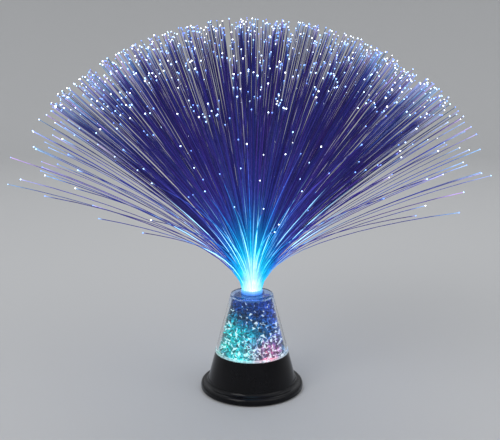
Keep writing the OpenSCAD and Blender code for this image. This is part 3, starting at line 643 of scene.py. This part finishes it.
def makeSpray():
    paths, along, tip, turn, rng = fibrePaths()
    total, n = along.shape
    each = np.ones((1, n))
    nearEnd = np.clip((along / along[:, -1:] - (1 - spray["endShare"])) / spray["endShare"], 0, 1)
    strength, middle, span = streaks["usual"]
    streak = np.zeros(total)
    outer = np.arange(int(total * spray["streakFrom"]), total)
    shining = rng.choice(outer, spray["streakFibres"], replace=False)
    streak[shining] = rng.uniform(*strength, len(shining))
    streakAt = rng.uniform(*middle, (total, 1))
    streakSpan = rng.uniform(*span, (total, 1))
    strength, middle, span = streaks["bright"]
    bright = rng.choice(np.arange(total - spray["strays"], total), spray["brightStrays"], replace=False)
    streak[bright] = rng.uniform(*strength, len(bright))
    streakAt[bright] = rng.uniform(*middle, (len(bright), 1))
    streakSpan[bright] = rng.uniform(*span, (len(bright), 1))
    wild = (tip > spray["denseAngle"] + spray["strayFrom"])[:, None]
    strandMost = np.where(wild, spray["strayThickness"], 1.0)
    guide = makeGuideMesh("fibreGuide", paths, {
        "shade": fadeAlong(along, tip, turn) * (1 - nearEnd) + nearEnd,
        "glow": (rng.uniform(*spray["glow"], (total, 1)) ** 1.3 + spray["strayGlow"] * wild) * each,
        "hue": rng.uniform(0, 1, (total, 1)) ** 1.5 * each,
        "streak": streak[:, None] * np.exp(-((along - streakAt) / streakSpan) ** 2),
        "thickness": np.clip(spray["rootThickness"] + spray["thickening"] * along, 0, strandMost),
        "tipSize": rng.uniform(*spray["tipSize"], (total, 1)) * each,
        "tipGlow": rng.uniform(*spray["tipGlow"], (total, 1)) ** 1.25 * each,
    })
    piece = growPiece("fibreSpray", guide, makeFibreTree(), {
        "Radius": spray["diameter"] / 2, "Sides": spray["sides"], "Tip Radius": spray["tipRadius"],
        "Strand Finish": makeStrandMaterial(), "Tip Finish": makeTipMaterial()})
    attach(piece, "spray")
    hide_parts("fibre_strands")
    print("fibre spray:", total, "fibres,", len(piece.data.polygons), "faces")


chips = {
    "radius": 2.5 * mm,
    "pitch": 5.2 * mm,  # along a ring
    "ringPitch": 4.8 * mm,
    "layerPitch": 4.4 * mm,
    "inset": 2.1 * mm,  # of their middles, from the wall, the tube and the deck
    "jitter": 0.5 * mm,
    "inward": 0.6,  # spread of how far they stray from the wall, in jitters
    "sizes": (0.88, 1.1),
    "shapes": 6,
    "blockSides": (1.45, 1.25, 1.1),  # of every second shape, as shares of the radius
    "shake": 0.42,  # how far a corner strays, as a share of the radius
    "coneWall": 2.3 * mm,  # with the gap that the chips keep
    "rimStep": 0.3 * mm,
    "spigotHeight": 5 * mm,
    "spigotStep": 3.0 * mm,  # where the room is narrower, down in the spigot
    "coneTopRadius": 19.3 * mm,
    "gap": 0.15 * mm,
    "seed": 5,
    "shapeSeed": 20,
    "facetSeed": 3,
}


# the room for the chips: radius at the deck, how it narrows, and the heights it lies between
def chipRoom():
    cone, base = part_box("crystal_cone")[1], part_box("base_shell")[1]
    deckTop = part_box("light_deck")[1].z
    rimR = cone.x - chips["rimStep"]
    narrowing = (rimR - chips["coneTopRadius"]) / (cone.z - base.z)
    deckR = rimR + narrowing * (base.z - deckTop) - chips["coneWall"]
    return deckR, narrowing, deckTop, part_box("crystals_upper")[1].z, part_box("light_tube")[1].x


def chipPlaces():
    rng = np.random.default_rng(chips["seed"])
    deckR, narrowing, deckTop, topZ, tubeR = chipRoom()
    inset = chips["inset"]
    places, level = [], deckTop + inset
    while level < topZ - inset:
        radius = deckR - narrowing * (level - deckTop) - inset
        while radius > tubeR + inset:
            count = int(2 * math.pi * radius / chips["pitch"])
            start = rng.uniform(0, 2 * math.pi)
            for i in range(count):
                angle = start + 2 * math.pi * i / count
                dz = rng.uniform(-1, 1) * chips["jitter"]
                dr = -abs(rng.normal(0, chips["inward"])) * chips["jitter"]
                places.append(((radius + dr) * math.cos(angle), (radius + dr) * math.sin(angle), level + dz))
            radius -= chips["ringPitch"]
        level += chips["layerPitch"]
    return np.array(places), rng


# moves corners that stand out past the cone, or into the tube or the deck, back to the surface
def keepInside(tree, geometry, given):
    x, y, z = placeParts(tree, geometryNode(tree, "InputPosition"))
    level = calc(tree, "MAXIMUM", z, given.outputs["Deck Height"])
    above = calc(tree, "SUBTRACT", level, given.outputs["Deck Height"])
    narrower = calc(tree, "MULTIPLY", above, given.outputs["Narrowing"])
    spigot = spread(tree, above, 0.0, chips["spigotHeight"], chips["spigotStep"], 0.0)
    narrower = calc(tree, "ADD", narrower, spigot)
    wall = calc(tree, "SUBTRACT", given.outputs["Deck Radius"], narrower)
    flat = flatPlace(tree, x, y)
    away = vectorCalc(tree, "LENGTH", {0: flat}, "Value")
    wanted = calc(tree, "MAXIMUM", calc(tree, "MINIMUM", away, wall), given.outputs["Tube Radius"])
    moved = vectorCalc(tree, "SCALE", {0: flat, "Scale": calc(tree, "DIVIDE", wanted, away)})
    newX, newY = placeParts(tree, moved)[:2]
    place = addNode(tree, "ShaderNodeCombineXYZ", {"X": newX, "Y": newY, "Z": level}).outputs[0]
    return geometryNode(tree, "SetPosition", {"Geometry": geometry, "Position": place})


def makeChipTree():
    tree, given, out = newGeometryTree("crystalChips", [
        ("Radius", "Float"), ("Shake", "Float"), ("Deck Height", "Float"),
        ("Deck Radius", "Float"), ("Narrowing", "Float"),
        ("Tube Radius", "Float"), ("Finish", "Material")])
    shapes = addNode(tree, "GeometryNodeJoinGeometry")
    for k in range(chips["shapes"]):
        if k % 2:
            body = geometryNode(tree, "MeshCube", {"Size": chips["blockSides"]})
        else:
            body = geometryNode(tree, "MeshIcoSphere", {"Radius": 1.0, "Subdivisions": 1})
        random = addNode(tree, "FunctionNodeRandomValue", {
            0: (-1, -1, -1), 1: (1, 1, 1), "Seed": chips["shapeSeed"] + k}, data_type="FLOAT_VECTOR")
        offset = vectorCalc(tree, "SCALE", {0: random.outputs[0], "Scale": given.outputs["Shake"]})
        moved = geometryNode(tree, "SetPosition", {"Geometry": body, "Offset": offset})
        hull = geometryNode(tree, "ConvexHull", {"Geometry": moved})
        tree.links.new(geometryNode(tree, "GeometryToInstance", {0: hull}), shapes.inputs[0])
    size = calc(tree, "MULTIPLY", namedValue(tree, "size"), given.outputs["Radius"])
    turned = namedValue(tree, "turn", "FLOAT_VECTOR")
    placed = geometryNode(tree, "InstanceOnPoints", {
        "Points": given.outputs["Geometry"], "Instance": shapes.outputs["Geometry"], "Pick Instance": True,
        "Instance Index": namedValue(tree, "kind", "INT"), "Rotation": turned, "Scale": size})
    real = geometryNode(tree, "RealizeInstances", {"Geometry": placed})
    kept = keepInside(tree, real, given)
    facetValue = addNode(tree, "FunctionNodeRandomValue", {"Seed": chips["facetSeed"]}, data_type="FLOAT")
    facets = geometryNode(tree, "StoreNamedAttribute", {
        "Geometry": kept, "Name": "facet", "Value": facetValue.outputs[1]},
        data_type="FLOAT", domain="FACE")
    feed(tree, out.inputs["Geometry"], finishTree(tree, facets, given.outputs["Finish"]))
    return tree


ledLight = {
    "startHeight": 30 * mm,
    "ring": 19 * mm,
    "spots": [  # angle, colour, height to which the light reaches
        (15, (0.09, 0.13, 0.9), 75 * mm), (75, (0.1, 0.1, 0.9), 75 * mm),
        (128, (1.6, 0.04, 0.16), 25 * mm), (308, (1.6, 0.04, 0.16), 25 * mm),
        (195, (0.0, 0.9, 0.4), 50 * mm), (248, (0.02, 0.92, 0.72), 39 * mm)],
    "spotWidth": 8.5 * mm,
    "widening": 0.3,
    "wobble": 20 * mm,
    "wobbleScale": 90.0,
}


# what the coloured LEDs give to a place in the cone
def makeLedGroup():
    group, given, out = newGroup("ledLight", [("Start Height", ledLight["startHeight"])], [
        ("Color", "Color"), ("Height", "Float")])
    place = objectPlace(group)
    wobble = addNode(group, "ShaderNodeTexNoise", {
        "Vector": place, "Scale": ledLight["wobbleScale"], "Detail": 2.0})
    shifted = vectorCalc(group, "SUBTRACT", {0: wobble.outputs["Color"], 1: (0.5, 0.5, 0.5)})
    shifted = vectorCalc(group, "SCALE", {0: shifted, "Scale": ledLight["wobble"]})
    x, y, z = placeParts(group, vectorCalc(group, "ADD", {0: place, 1: shifted}))
    flat = flatPlace(group, x, y)
    height = calc(group, "MAXIMUM", calc(group, "SUBTRACT", z, given.outputs["Start Height"]), 0.0)
    width = calc(group, "ADD", calc(group, "MULTIPLY", height, ledLight["widening"]), ledLight["spotWidth"])
    total = (0.0, 0.0, 0.0)
    for angle, color, reachesTo in ledLight["spots"]:
        turn = math.radians(angle)
        spot = (ledLight["ring"] * math.cos(turn), ledLight["ring"] * math.sin(turn), 0.0)
        away = vectorCalc(group, "DISTANCE", {0: flat, 1: spot}, "Value")
        relative = calc(group, "DIVIDE", away, width)
        squared = calc(group, "MULTIPLY", relative, relative)
        fall = calc(group, "EXPONENT", calc(group, "MULTIPLY", squared, -1.0))
        level = calc(group, "MULTIPLY", fall, spread(group, height, 0.0, reachesTo, 1.0, 0.0))
        part = vectorCalc(group, "SCALE", {0: color, "Scale": level})
        total = vectorCalc(group, "ADD", {0: total, 1: part})
    feed(group, out.inputs["Color"], total)
    feed(group, out.inputs["Height"], height)
    return group


ledGroup = makeLedGroup()


def ledColor(tree):
    node = addNode(tree, "ShaderNodeGroup", node_tree=ledGroup)
    return node.outputs["Color"], node.outputs["Height"]


crystalLook = {
    "lightHeight": 55 * mm,  # over which colour and strength change, from the deck up
    "contrast": 2.2,
    "insideScale": 480.0,
    "insideLevel": (0.4, 1.7),
    "clusterScale": 170.0,
    "clustering": 0.1,  # how far the share of glints changes from cluster to cluster
    "glintColor": (1.1, 1.3, 1.3),
    "glintTint": 0.4,
}


def makeCrystalMaterial():
    material, tree, shader = newMaterial("crystalChip")
    # painted light: the chips glow with the LEDs' colours over a painted ambient glow, stronger near the
    # deck, each facet lit to its own random level
    leds, height = ledColor(tree)
    up = spread(tree, height, 0.0, crystalLook["lightHeight"])
    ambient = ramp(tree, up, [
        (0.0, (0.03, 0.22, 0.34)), (0.4, (0.01, 0.14, 0.4)), (1.0, (0.006, 0.045, 0.3))])
    tint = addColors(tree, leds, ambient)
    facet = attributeValue(tree, "facet")
    strength = ramp(tree, up, [
        (0.0, (2.3,) * 3), (0.35, (2.0,) * 3), (0.6, (1.3,) * 3), (1.0, (0.75,) * 3)])
    level = spread(tree, calc(tree, "POWER", facet, crystalLook["contrast"]), 0.0, 1.0, 0.04, 1.0)
    # painted light: how much a facet shows of the lit facets behind it
    inside = noise(tree, crystalLook["insideScale"], 2.0, 0.7)
    level = calc(tree, "MULTIPLY", level, spread(tree, inside, 0.36, 0.64, *crystalLook["insideLevel"]))
    glowColor = multiply(tree, tint, scaleColor(tree, strength, level))
    # painted glints: white on facets whose random value passes a limit, more of them near the deck and in
    # clusters
    limit = ramp(tree, up, [
        (0.0, (0.72,) * 3), (0.3, (0.77,) * 3), (0.5, (0.92,) * 3), (1.0, (0.985,) * 3)])
    change = crystalLook["clustering"]
    clusters = spread(tree, noise(tree, crystalLook["clusterScale"], 2.0), 0.35, 0.65, change, -change)
    glint = calc(tree, "GREATER_THAN", facet, calc(tree, "ADD", limit, clusters))
    glint = calc(tree, "MULTIPLY", glint, spread(tree, inside, 0.38, 0.46))
    glintLight = blendColors(tree, crystalLook["glintTint"], crystalLook["glintColor"], tint)
    glowColor = blendColors(tree, glint, glowColor, glintLight)
    rough, normal, tone = finishOf(tree, 0.05, 0.05, 700.0, 0.08)
    # the base colour is a quarter of the painted light's tint
    base = multiply(tree, tint, (0.25, 0.25, 0.25))
    setShader(tree, shader, color=base, rough=rough, normal=normal, ior=1.4, specular=0.3, glass=0.15,
              glow=glowColor, glowStrength=1.0)
    return material


def makeChips():
    places, rng = chipPlaces()
    mesh = bpy.data.meshes.new("chipGuide")
    mesh.from_pydata(places.tolist(), [], [])
    total = len(places)
    mesh.attributes.new("size", "FLOAT", "POINT").data.foreach_set(
        "value", rng.uniform(*chips["sizes"], total).astype(np.float32))
    mesh.attributes.new("kind", "INT", "POINT").data.foreach_set(
        "value", rng.integers(0, chips["shapes"], total).astype(np.int32))
    mesh.attributes.new("turn", "FLOAT_VECTOR", "POINT").data.foreach_set(
        "vector", rng.uniform(0, 2 * math.pi, total * 3).astype(np.float32))
    deckR, narrowing, deckTop, topZ, tubeR = chipRoom()
    piece = growPiece("crystalFill", mesh, makeChipTree(), {
        "Radius": chips["radius"], "Shake": chips["shake"], "Deck Height": deckTop + chips["gap"],
        "Deck Radius": deckR, "Narrowing": narrowing, "Tube Radius": tubeR + chips["gap"],
        "Finish": makeCrystalMaterial()})
    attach(piece, "base")
    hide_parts("crystals_lower", "crystals_middle", "crystals_upper")
    print("crystal fill:", total, "chips,", len(piece.data.polygons), "faces")


coneLight = {
    "flangeTop": 36.4 * mm,
    "flangeFade": 0.4 * mm,
    "paintedRimGlow": (0.62, 0.82, 0.92),
    "lidDepth": 12 * mm,  # how far down the bundle's light reaches from the cone's top
    "lidTint": (0.64, 0.79, 1.0),
    "lidGlow": (0.002, 0.014, 0.045),
}


# polished plastic; the cone's flange carries the light of the LEDs round its rim, its top the bundle's
def makeClearMaterial(name, edgeGlow=False):
    material, tree, shader = newMaterial(name)
    rough, normal, tone = finishOf(tree, 0.03, 0.02, 900.0, 0.02)
    dustMask, scuffMask = handlingOf(tree, 0.25, 0.5)
    rough = wornRough(tree, rough, dustMask, scuffMask, 0.2)
    clear = (0.94, 0.975, 1.0)
    setShader(tree, shader, color=clear, rough=rough, normal=normal, ior=1.4, glass=1.0)
    if edgeGlow:
        # painted light: the flange at the cone's foot glows with the LEDs' colours mixed with a pale blue,
        # and the top of the cone is tinted blue and faintly lit by the bundle
        tint = ledColor(tree)[0]
        z = placeParts(tree)[2]
        bottom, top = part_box("base_shell")[1].z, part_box("crystal_cone")[1].z
        flangeTop, flangeFade = coneLight["flangeTop"], coneLight["flangeFade"]
        flange = calc(tree, "MULTIPLY", spread(tree, z, bottom - 0.1 * mm, bottom + flangeFade),
                      spread(tree, z, flangeTop + flangeFade, flangeTop))
        edge = blendColors(tree, 0.5, tint, coneLight["paintedRimGlow"])
        lid = spread(tree, z, top - coneLight["lidDepth"], top)
        color = blendColors(tree, lid, clear, coneLight["lidTint"])
        lidLight = blendColors(tree, lid, (0.0, 0.0, 0.0), coneLight["lidGlow"])
        glowColor = blendColors(tree, flange, lidLight, edge)
        setShader(tree, shader, color=color, glow=glowColor, glowStrength=0.8)
    return material


# fibres set in resin: bright cores on the cut ends, faint lines down the side
def makePottedMaterial():
    material, tree, shader = newMaterial("pottedFibre")
    x, y, z = placeParts(tree)
    cell = addNode(tree, "ShaderNodeTexVoronoi", {
        "Vector": flatPlace(tree, x, y), "Scale": 1 / spray["diameter"]})
    core = spread(tree, cell.outputs["Distance"], 0.25, 0.5, 1.0, 0.25)
    end = spread(tree, calc(tree, "ABSOLUTE", facingUp(tree)), 0.3, 0.7)
    level = calc(tree, "MULTIPLY", core, spread(tree, end, 0.0, 1.0, 0.25, 1.0))
    rough, normal, tone = finishOf(tree, 0.2, 0.1, 1200.0, 0.05)
    color = blendColors(tree, core, (0.1, 0.16, 0.24), (0.5, 0.62, 0.75))
    light = blendColors(tree, end, (0.05, 0.3, 1.0), (0.85, 0.95, 1.0))
    glowColor = scaleColor(tree, light, level)
    setShader(tree, shader, color=color, rough=rough, normal=normal, glow=glowColor, glowStrength=1.4)
    return material


def makeDeckMaterial():
    material, tree, shader = newMaterial("frostedDeck")
    leds = ledColor(tree)[0]
    rough, normal, tone = finishOf(tree, 0.6, 0.1, 1600.0, 0.25)
    # painted light: the deck glows with the LEDs' colours on top of a faint blue glow that varies with the
    # random tone
    glowColor = addColors(tree, leds, blendColors(tree, tone, (0.02, 0.05, 0.07), (0.05, 0.09, 0.12)))
    setShader(tree, shader, color=(0.6, 0.68, 0.72), rough=rough, normal=normal, glow=glowColor,
              glowStrength=0.9)
    return material


tinned = (0.68, 0.68, 0.7)
lensColors = {
    "centre": (0.9, 0.97, 1.0),
    "red": (1.0, 0.05, 0.14),
    "green": (0.04, 1.0, 0.5),
    "blue": (0.06, 0.16, 1.0),
}


# a lit lens above the board, tinned leads below it
def makeLensMaterial(name, color):
    material, tree, shader = newMaterial(name)
    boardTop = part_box("circuit_board")[1].z
    lead = calc(tree, "LESS_THAN", placeParts(tree)[2], boardTop + 0.05 * mm)
    rough, normal, tone = finishOf(tree, 0.15, 0.1, 1200.0, 0.04)
    lit = blendColors(tree, spread(tree, tone, 0.25, 0.75), tuple(0.75 * c for c in color), color)
    setShader(tree, shader, color=blendColors(tree, lead, color, tinned), metal=lead, rough=rough,
              normal=normal, glow=blendColors(tree, lead, lit, (0.0, 0.0, 0.0)), glowStrength=2.0)
    return material


cellLook = {
    "length": 44.5 * mm,
    "button": 0.8 * mm,
    "metalEnd": 0.7 * mm,
    "bandLength": 11 * mm,
    "sleeve": (0.035, 0.055, 0.085),
    "band": (0.5, 0.5, 0.52),
}


# plain sleeve with a silver band at the plus end; the middle cell lies the other way round
def makeCellMaterial():
    material, tree, shader = newMaterial("cellSleeve")
    low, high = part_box("batteries")
    x, y, z = placeParts(tree)
    middle = calc(tree, "LESS_THAN", calc(tree, "ABSOLUTE", x), (high.x - low.x) / 6)
    along = calc(tree, "MULTIPLY", y, spread(tree, middle, 0.0, 1.0, 1.0, -1.0))
    plusEnd = high.y - cellLook["button"]
    minusEnd = high.y - cellLook["length"]
    covered = between(tree, along, minusEnd + cellLook["metalEnd"], plusEnd - cellLook["metalEnd"])
    band = calc(tree, "GREATER_THAN", along, plusEnd - cellLook["bandLength"])
    sleeve = blendColors(tree, band, cellLook["sleeve"], cellLook["band"])
    rough, normal, tone = finishOf(tree, 0.28, 0.15, 1000.0, 0.05)
    metal = calc(tree, "MAXIMUM", calc(tree, "SUBTRACT", 1.0, covered), calc(tree, "MULTIPLY", band, 0.6))
    color = blendColors(tree, covered, (0.7, 0.7, 0.7), sleeve)
    setShader(tree, shader, color=color, metal=metal, rough=rough, normal=normal)
    return material


tracks = {
    "field": 5.5 * mm,  # side of a square in which they all run one way
    "pitch": 1.25 * mm,
    "width": 0.4,  # as a share of the pitch
    "bareFields": 0.3,
}


# green lacquer over copper tracks, with the bare laminate at the rim
def makeBoardMaterial():
    material, tree, shader = newMaterial("boardLacquer")
    x, y, z = placeParts(tree)
    square = vectorCalc(tree, "SNAP", {0: flatPlace(tree, x, y), 1: (tracks["field"],) * 3})
    chance = addNode(tree, "ShaderNodeTexWhiteNoise", {"Vector": square}).outputs["Value"]
    turned = calc(tree, "GREATER_THAN", chance, (1 + tracks["bareFields"]) / 2)
    across = calc(tree, "ADD", calc(tree, "MULTIPLY", turned, x),
                  calc(tree, "MULTIPLY", calc(tree, "SUBTRACT", 1.0, turned), y))
    step = calc(tree, "FRACT", calc(tree, "DIVIDE", across, tracks["pitch"]))
    off = calc(tree, "ABSOLUTE", calc(tree, "SUBTRACT", step, 0.5))
    track = calc(tree, "MULTIPLY", calc(tree, "LESS_THAN", off, tracks["width"] / 2),
                 calc(tree, "GREATER_THAN", chance, tracks["bareFields"]))
    rim = calc(tree, "LESS_THAN", calc(tree, "ABSOLUTE", facingUp(tree)), 0.5)
    rough, normal, tone = finishOf(tree, 0.3, 0.1, 2200.0, 0.12)
    lacquer = blendColors(tree, track, (0.008, 0.1, 0.035), (0.03, 0.22, 0.08))
    color = blendColors(tree, rim, lacquer, (0.36, 0.34, 0.2))
    setShader(tree, shader, color=color, rough=rough, normal=normal)
    return material


controllerLook = {
    "bodyHalfWidth": 2.02 * mm,
    "dotFromEnd": 1.0 * mm,
    "dotFromMiddle": 1.2 * mm,
    "dotRadius": 0.35 * mm,
}


# moulded body whose legs are tinned
def makeChipMaterial():
    material, tree, shader = newMaterial("controllerChip")
    low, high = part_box("controller_chip")
    x, y, z = placeParts(tree)
    middle = (low.y + high.y) / 2
    away = calc(tree, "ABSOLUTE", calc(tree, "SUBTRACT", y, middle))
    leg = calc(tree, "GREATER_THAN", away, controllerLook["bodyHalfWidth"])
    dotX, dotY = low.x + controllerLook["dotFromEnd"], middle - controllerLook["dotFromMiddle"]
    dot = vectorCalc(tree, "DISTANCE", {0: flatPlace(tree, x, y), 1: (dotX, dotY, 0.0)}, "Value")
    mark = calc(tree, "LESS_THAN", dot, controllerLook["dotRadius"])
    rough, normal, tone = finishOf(tree, 0.5, 0.15, 2600.0, 0.3)
    body = blendColors(tree, mark, (0.012, 0.012, 0.013), (0.05, 0.05, 0.05))
    setShader(tree, shader, color=blendColors(tree, leg, body, tinned), metal=leg, rough=rough,
              normal=normal)
    return material


resistorLook = {
    "body": (0.5, 0.36, 0.2),
    "bands": [  # place along the body in mm, colour
        (-2.3, (0.3, 0.01, 0.01)), (-1.1, (0.3, 0.01, 0.01)), (-0.1, (0.12, 0.04, 0.012)),
        (2.2, (0.45, 0.3, 0.06))],
    "halfBand": 0.28,
    "halfBody": 3.02,
}


def makeResistorMaterial():
    material, tree, shader = newMaterial("resistorBands")
    low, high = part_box("resistors")
    off = calc(tree, "SUBTRACT", placeParts(tree)[0], (low.x + high.x) / 2)
    color, half = resistorLook["body"], resistorLook["halfBand"]
    for place, band in resistorLook["bands"]:
        color = blendColors(tree, between(tree, off, (place - half) * mm, (place + half) * mm), color, band)
    lead = calc(tree, "GREATER_THAN", calc(tree, "ABSOLUTE", off), resistorLook["halfBody"] * mm)
    rough, normal, tone = finishOf(tree, 0.35, 0.1, 1200.0, 0.1)
    setShader(tree, shader, color=blendColors(tree, lead, color, tinned), metal=lead, rough=rough,
              normal=normal)
    return material


# soft insulation, one colour on each side of the lamp
def makeWireMaterial(name, front, back):
    material, tree, shader = newMaterial(name)
    y = placeParts(tree)[1]
    rough, normal, tone = finishOf(tree, 0.45, 0.15, 1400.0, 0.1)
    color = blendColors(tree, calc(tree, "GREATER_THAN", y, 0.0), front, back)
    color = blendColors(tree, calc(tree, "MULTIPLY", tone, 0.3), color, (0.0, 0.0, 0.0))
    setShader(tree, shader, color=color, rough=rough, normal=normal)
    return material


def dress(material, *names):
    for name in names:
        piece = nodes[name]
        for materialSlot in piece.material_slots:
            materialSlot.material = material
        if not piece.material_slots:
            piece.data.materials.append(material)


# dark and pale tone, roughness and its spread, grain scale, relief, dust, scuffs, specular, metal
looks = {
    "glossBlack": ((0.002, 0.002, 0.003), (0.004, 0.004, 0.006), 0.13, 0.06, 900.0, 0.02, 0.06, 0.4, 0.18),
    "mattBlack": ((0.008, 0.008, 0.009), (0.014, 0.014, 0.016), 0.55, 0.2, 1900.0, 0.5, 0.12, 0.4, 0.5),
    "rubber": ((0.028, 0.028, 0.031), (0.046, 0.046, 0.05), 0.8, 0.1, 1200.0, 0.3, 0.25, 0.5, 0.5),
    "glossWhite": ((0.76, 0.76, 0.75), (0.84, 0.84, 0.83), 0.2, 0.1, 900.0, 0.03, 0.05, 0.2, 0.5),
    "screwSteel": ((0.5, 0.5, 0.52), (0.7, 0.7, 0.72), 0.26, 0.18, 1500.0, 0.1, 0.05, 0.4, 0.5, 1.0),
    "nickel": ((0.55, 0.52, 0.45), (0.75, 0.72, 0.64), 0.3, 0.18, 1300.0, 0.1, 0.05, 0.4, 0.5, 1.0),
}
wireBlack = (0.02, 0.02, 0.022)
wireRed = (0.42, 0.015, 0.01)


def dressFrame():
    for name, *dressed in (
            ("glossBlack", "base_shell"),
            ("mattBlack", "bottom_cover", "battery_door", "switch_slider"),
            ("rubber", "rubber_feet"), ("glossWhite", "reflector_cup"),
            ("screwSteel", "cover_screws", "board_screws", "switch_body"),
            ("nickel", "battery_springs", "contact_plates")):
        dress(makeMoulded(name, *looks[name]), *dressed)
    dress(makeClearMaterial("clearAcrylic"), "light_tube")
    dress(makeClearMaterial("clearCone", edgeGlow=True), "crystal_cone")
    dress(makePottedMaterial(), "bundle_core")
    dress(makeDeckMaterial(), "light_deck")
    dress(makeCellMaterial(), "batteries")
    dress(makeBoardMaterial(), "circuit_board")
    dress(makeChipMaterial(), "controller_chip")
    dress(makeResistorMaterial(), "resistors")
    dress(makeWireMaterial("batteryWire", wireBlack, wireRed), "battery_wires")
    dress(makeWireMaterial("switchWire", wireRed, wireRed), "switch_wires")
    for name, color in lensColors.items():
        dress(makeLensMaterial(name + "Lens", color), "led_" + name)
    print("frame pieces dressed")


makeCamera()
makeStudio(makeFloorMaterial())
makeLights()
dressFrame()
makeCollar()
makeSpray()
makeChips()
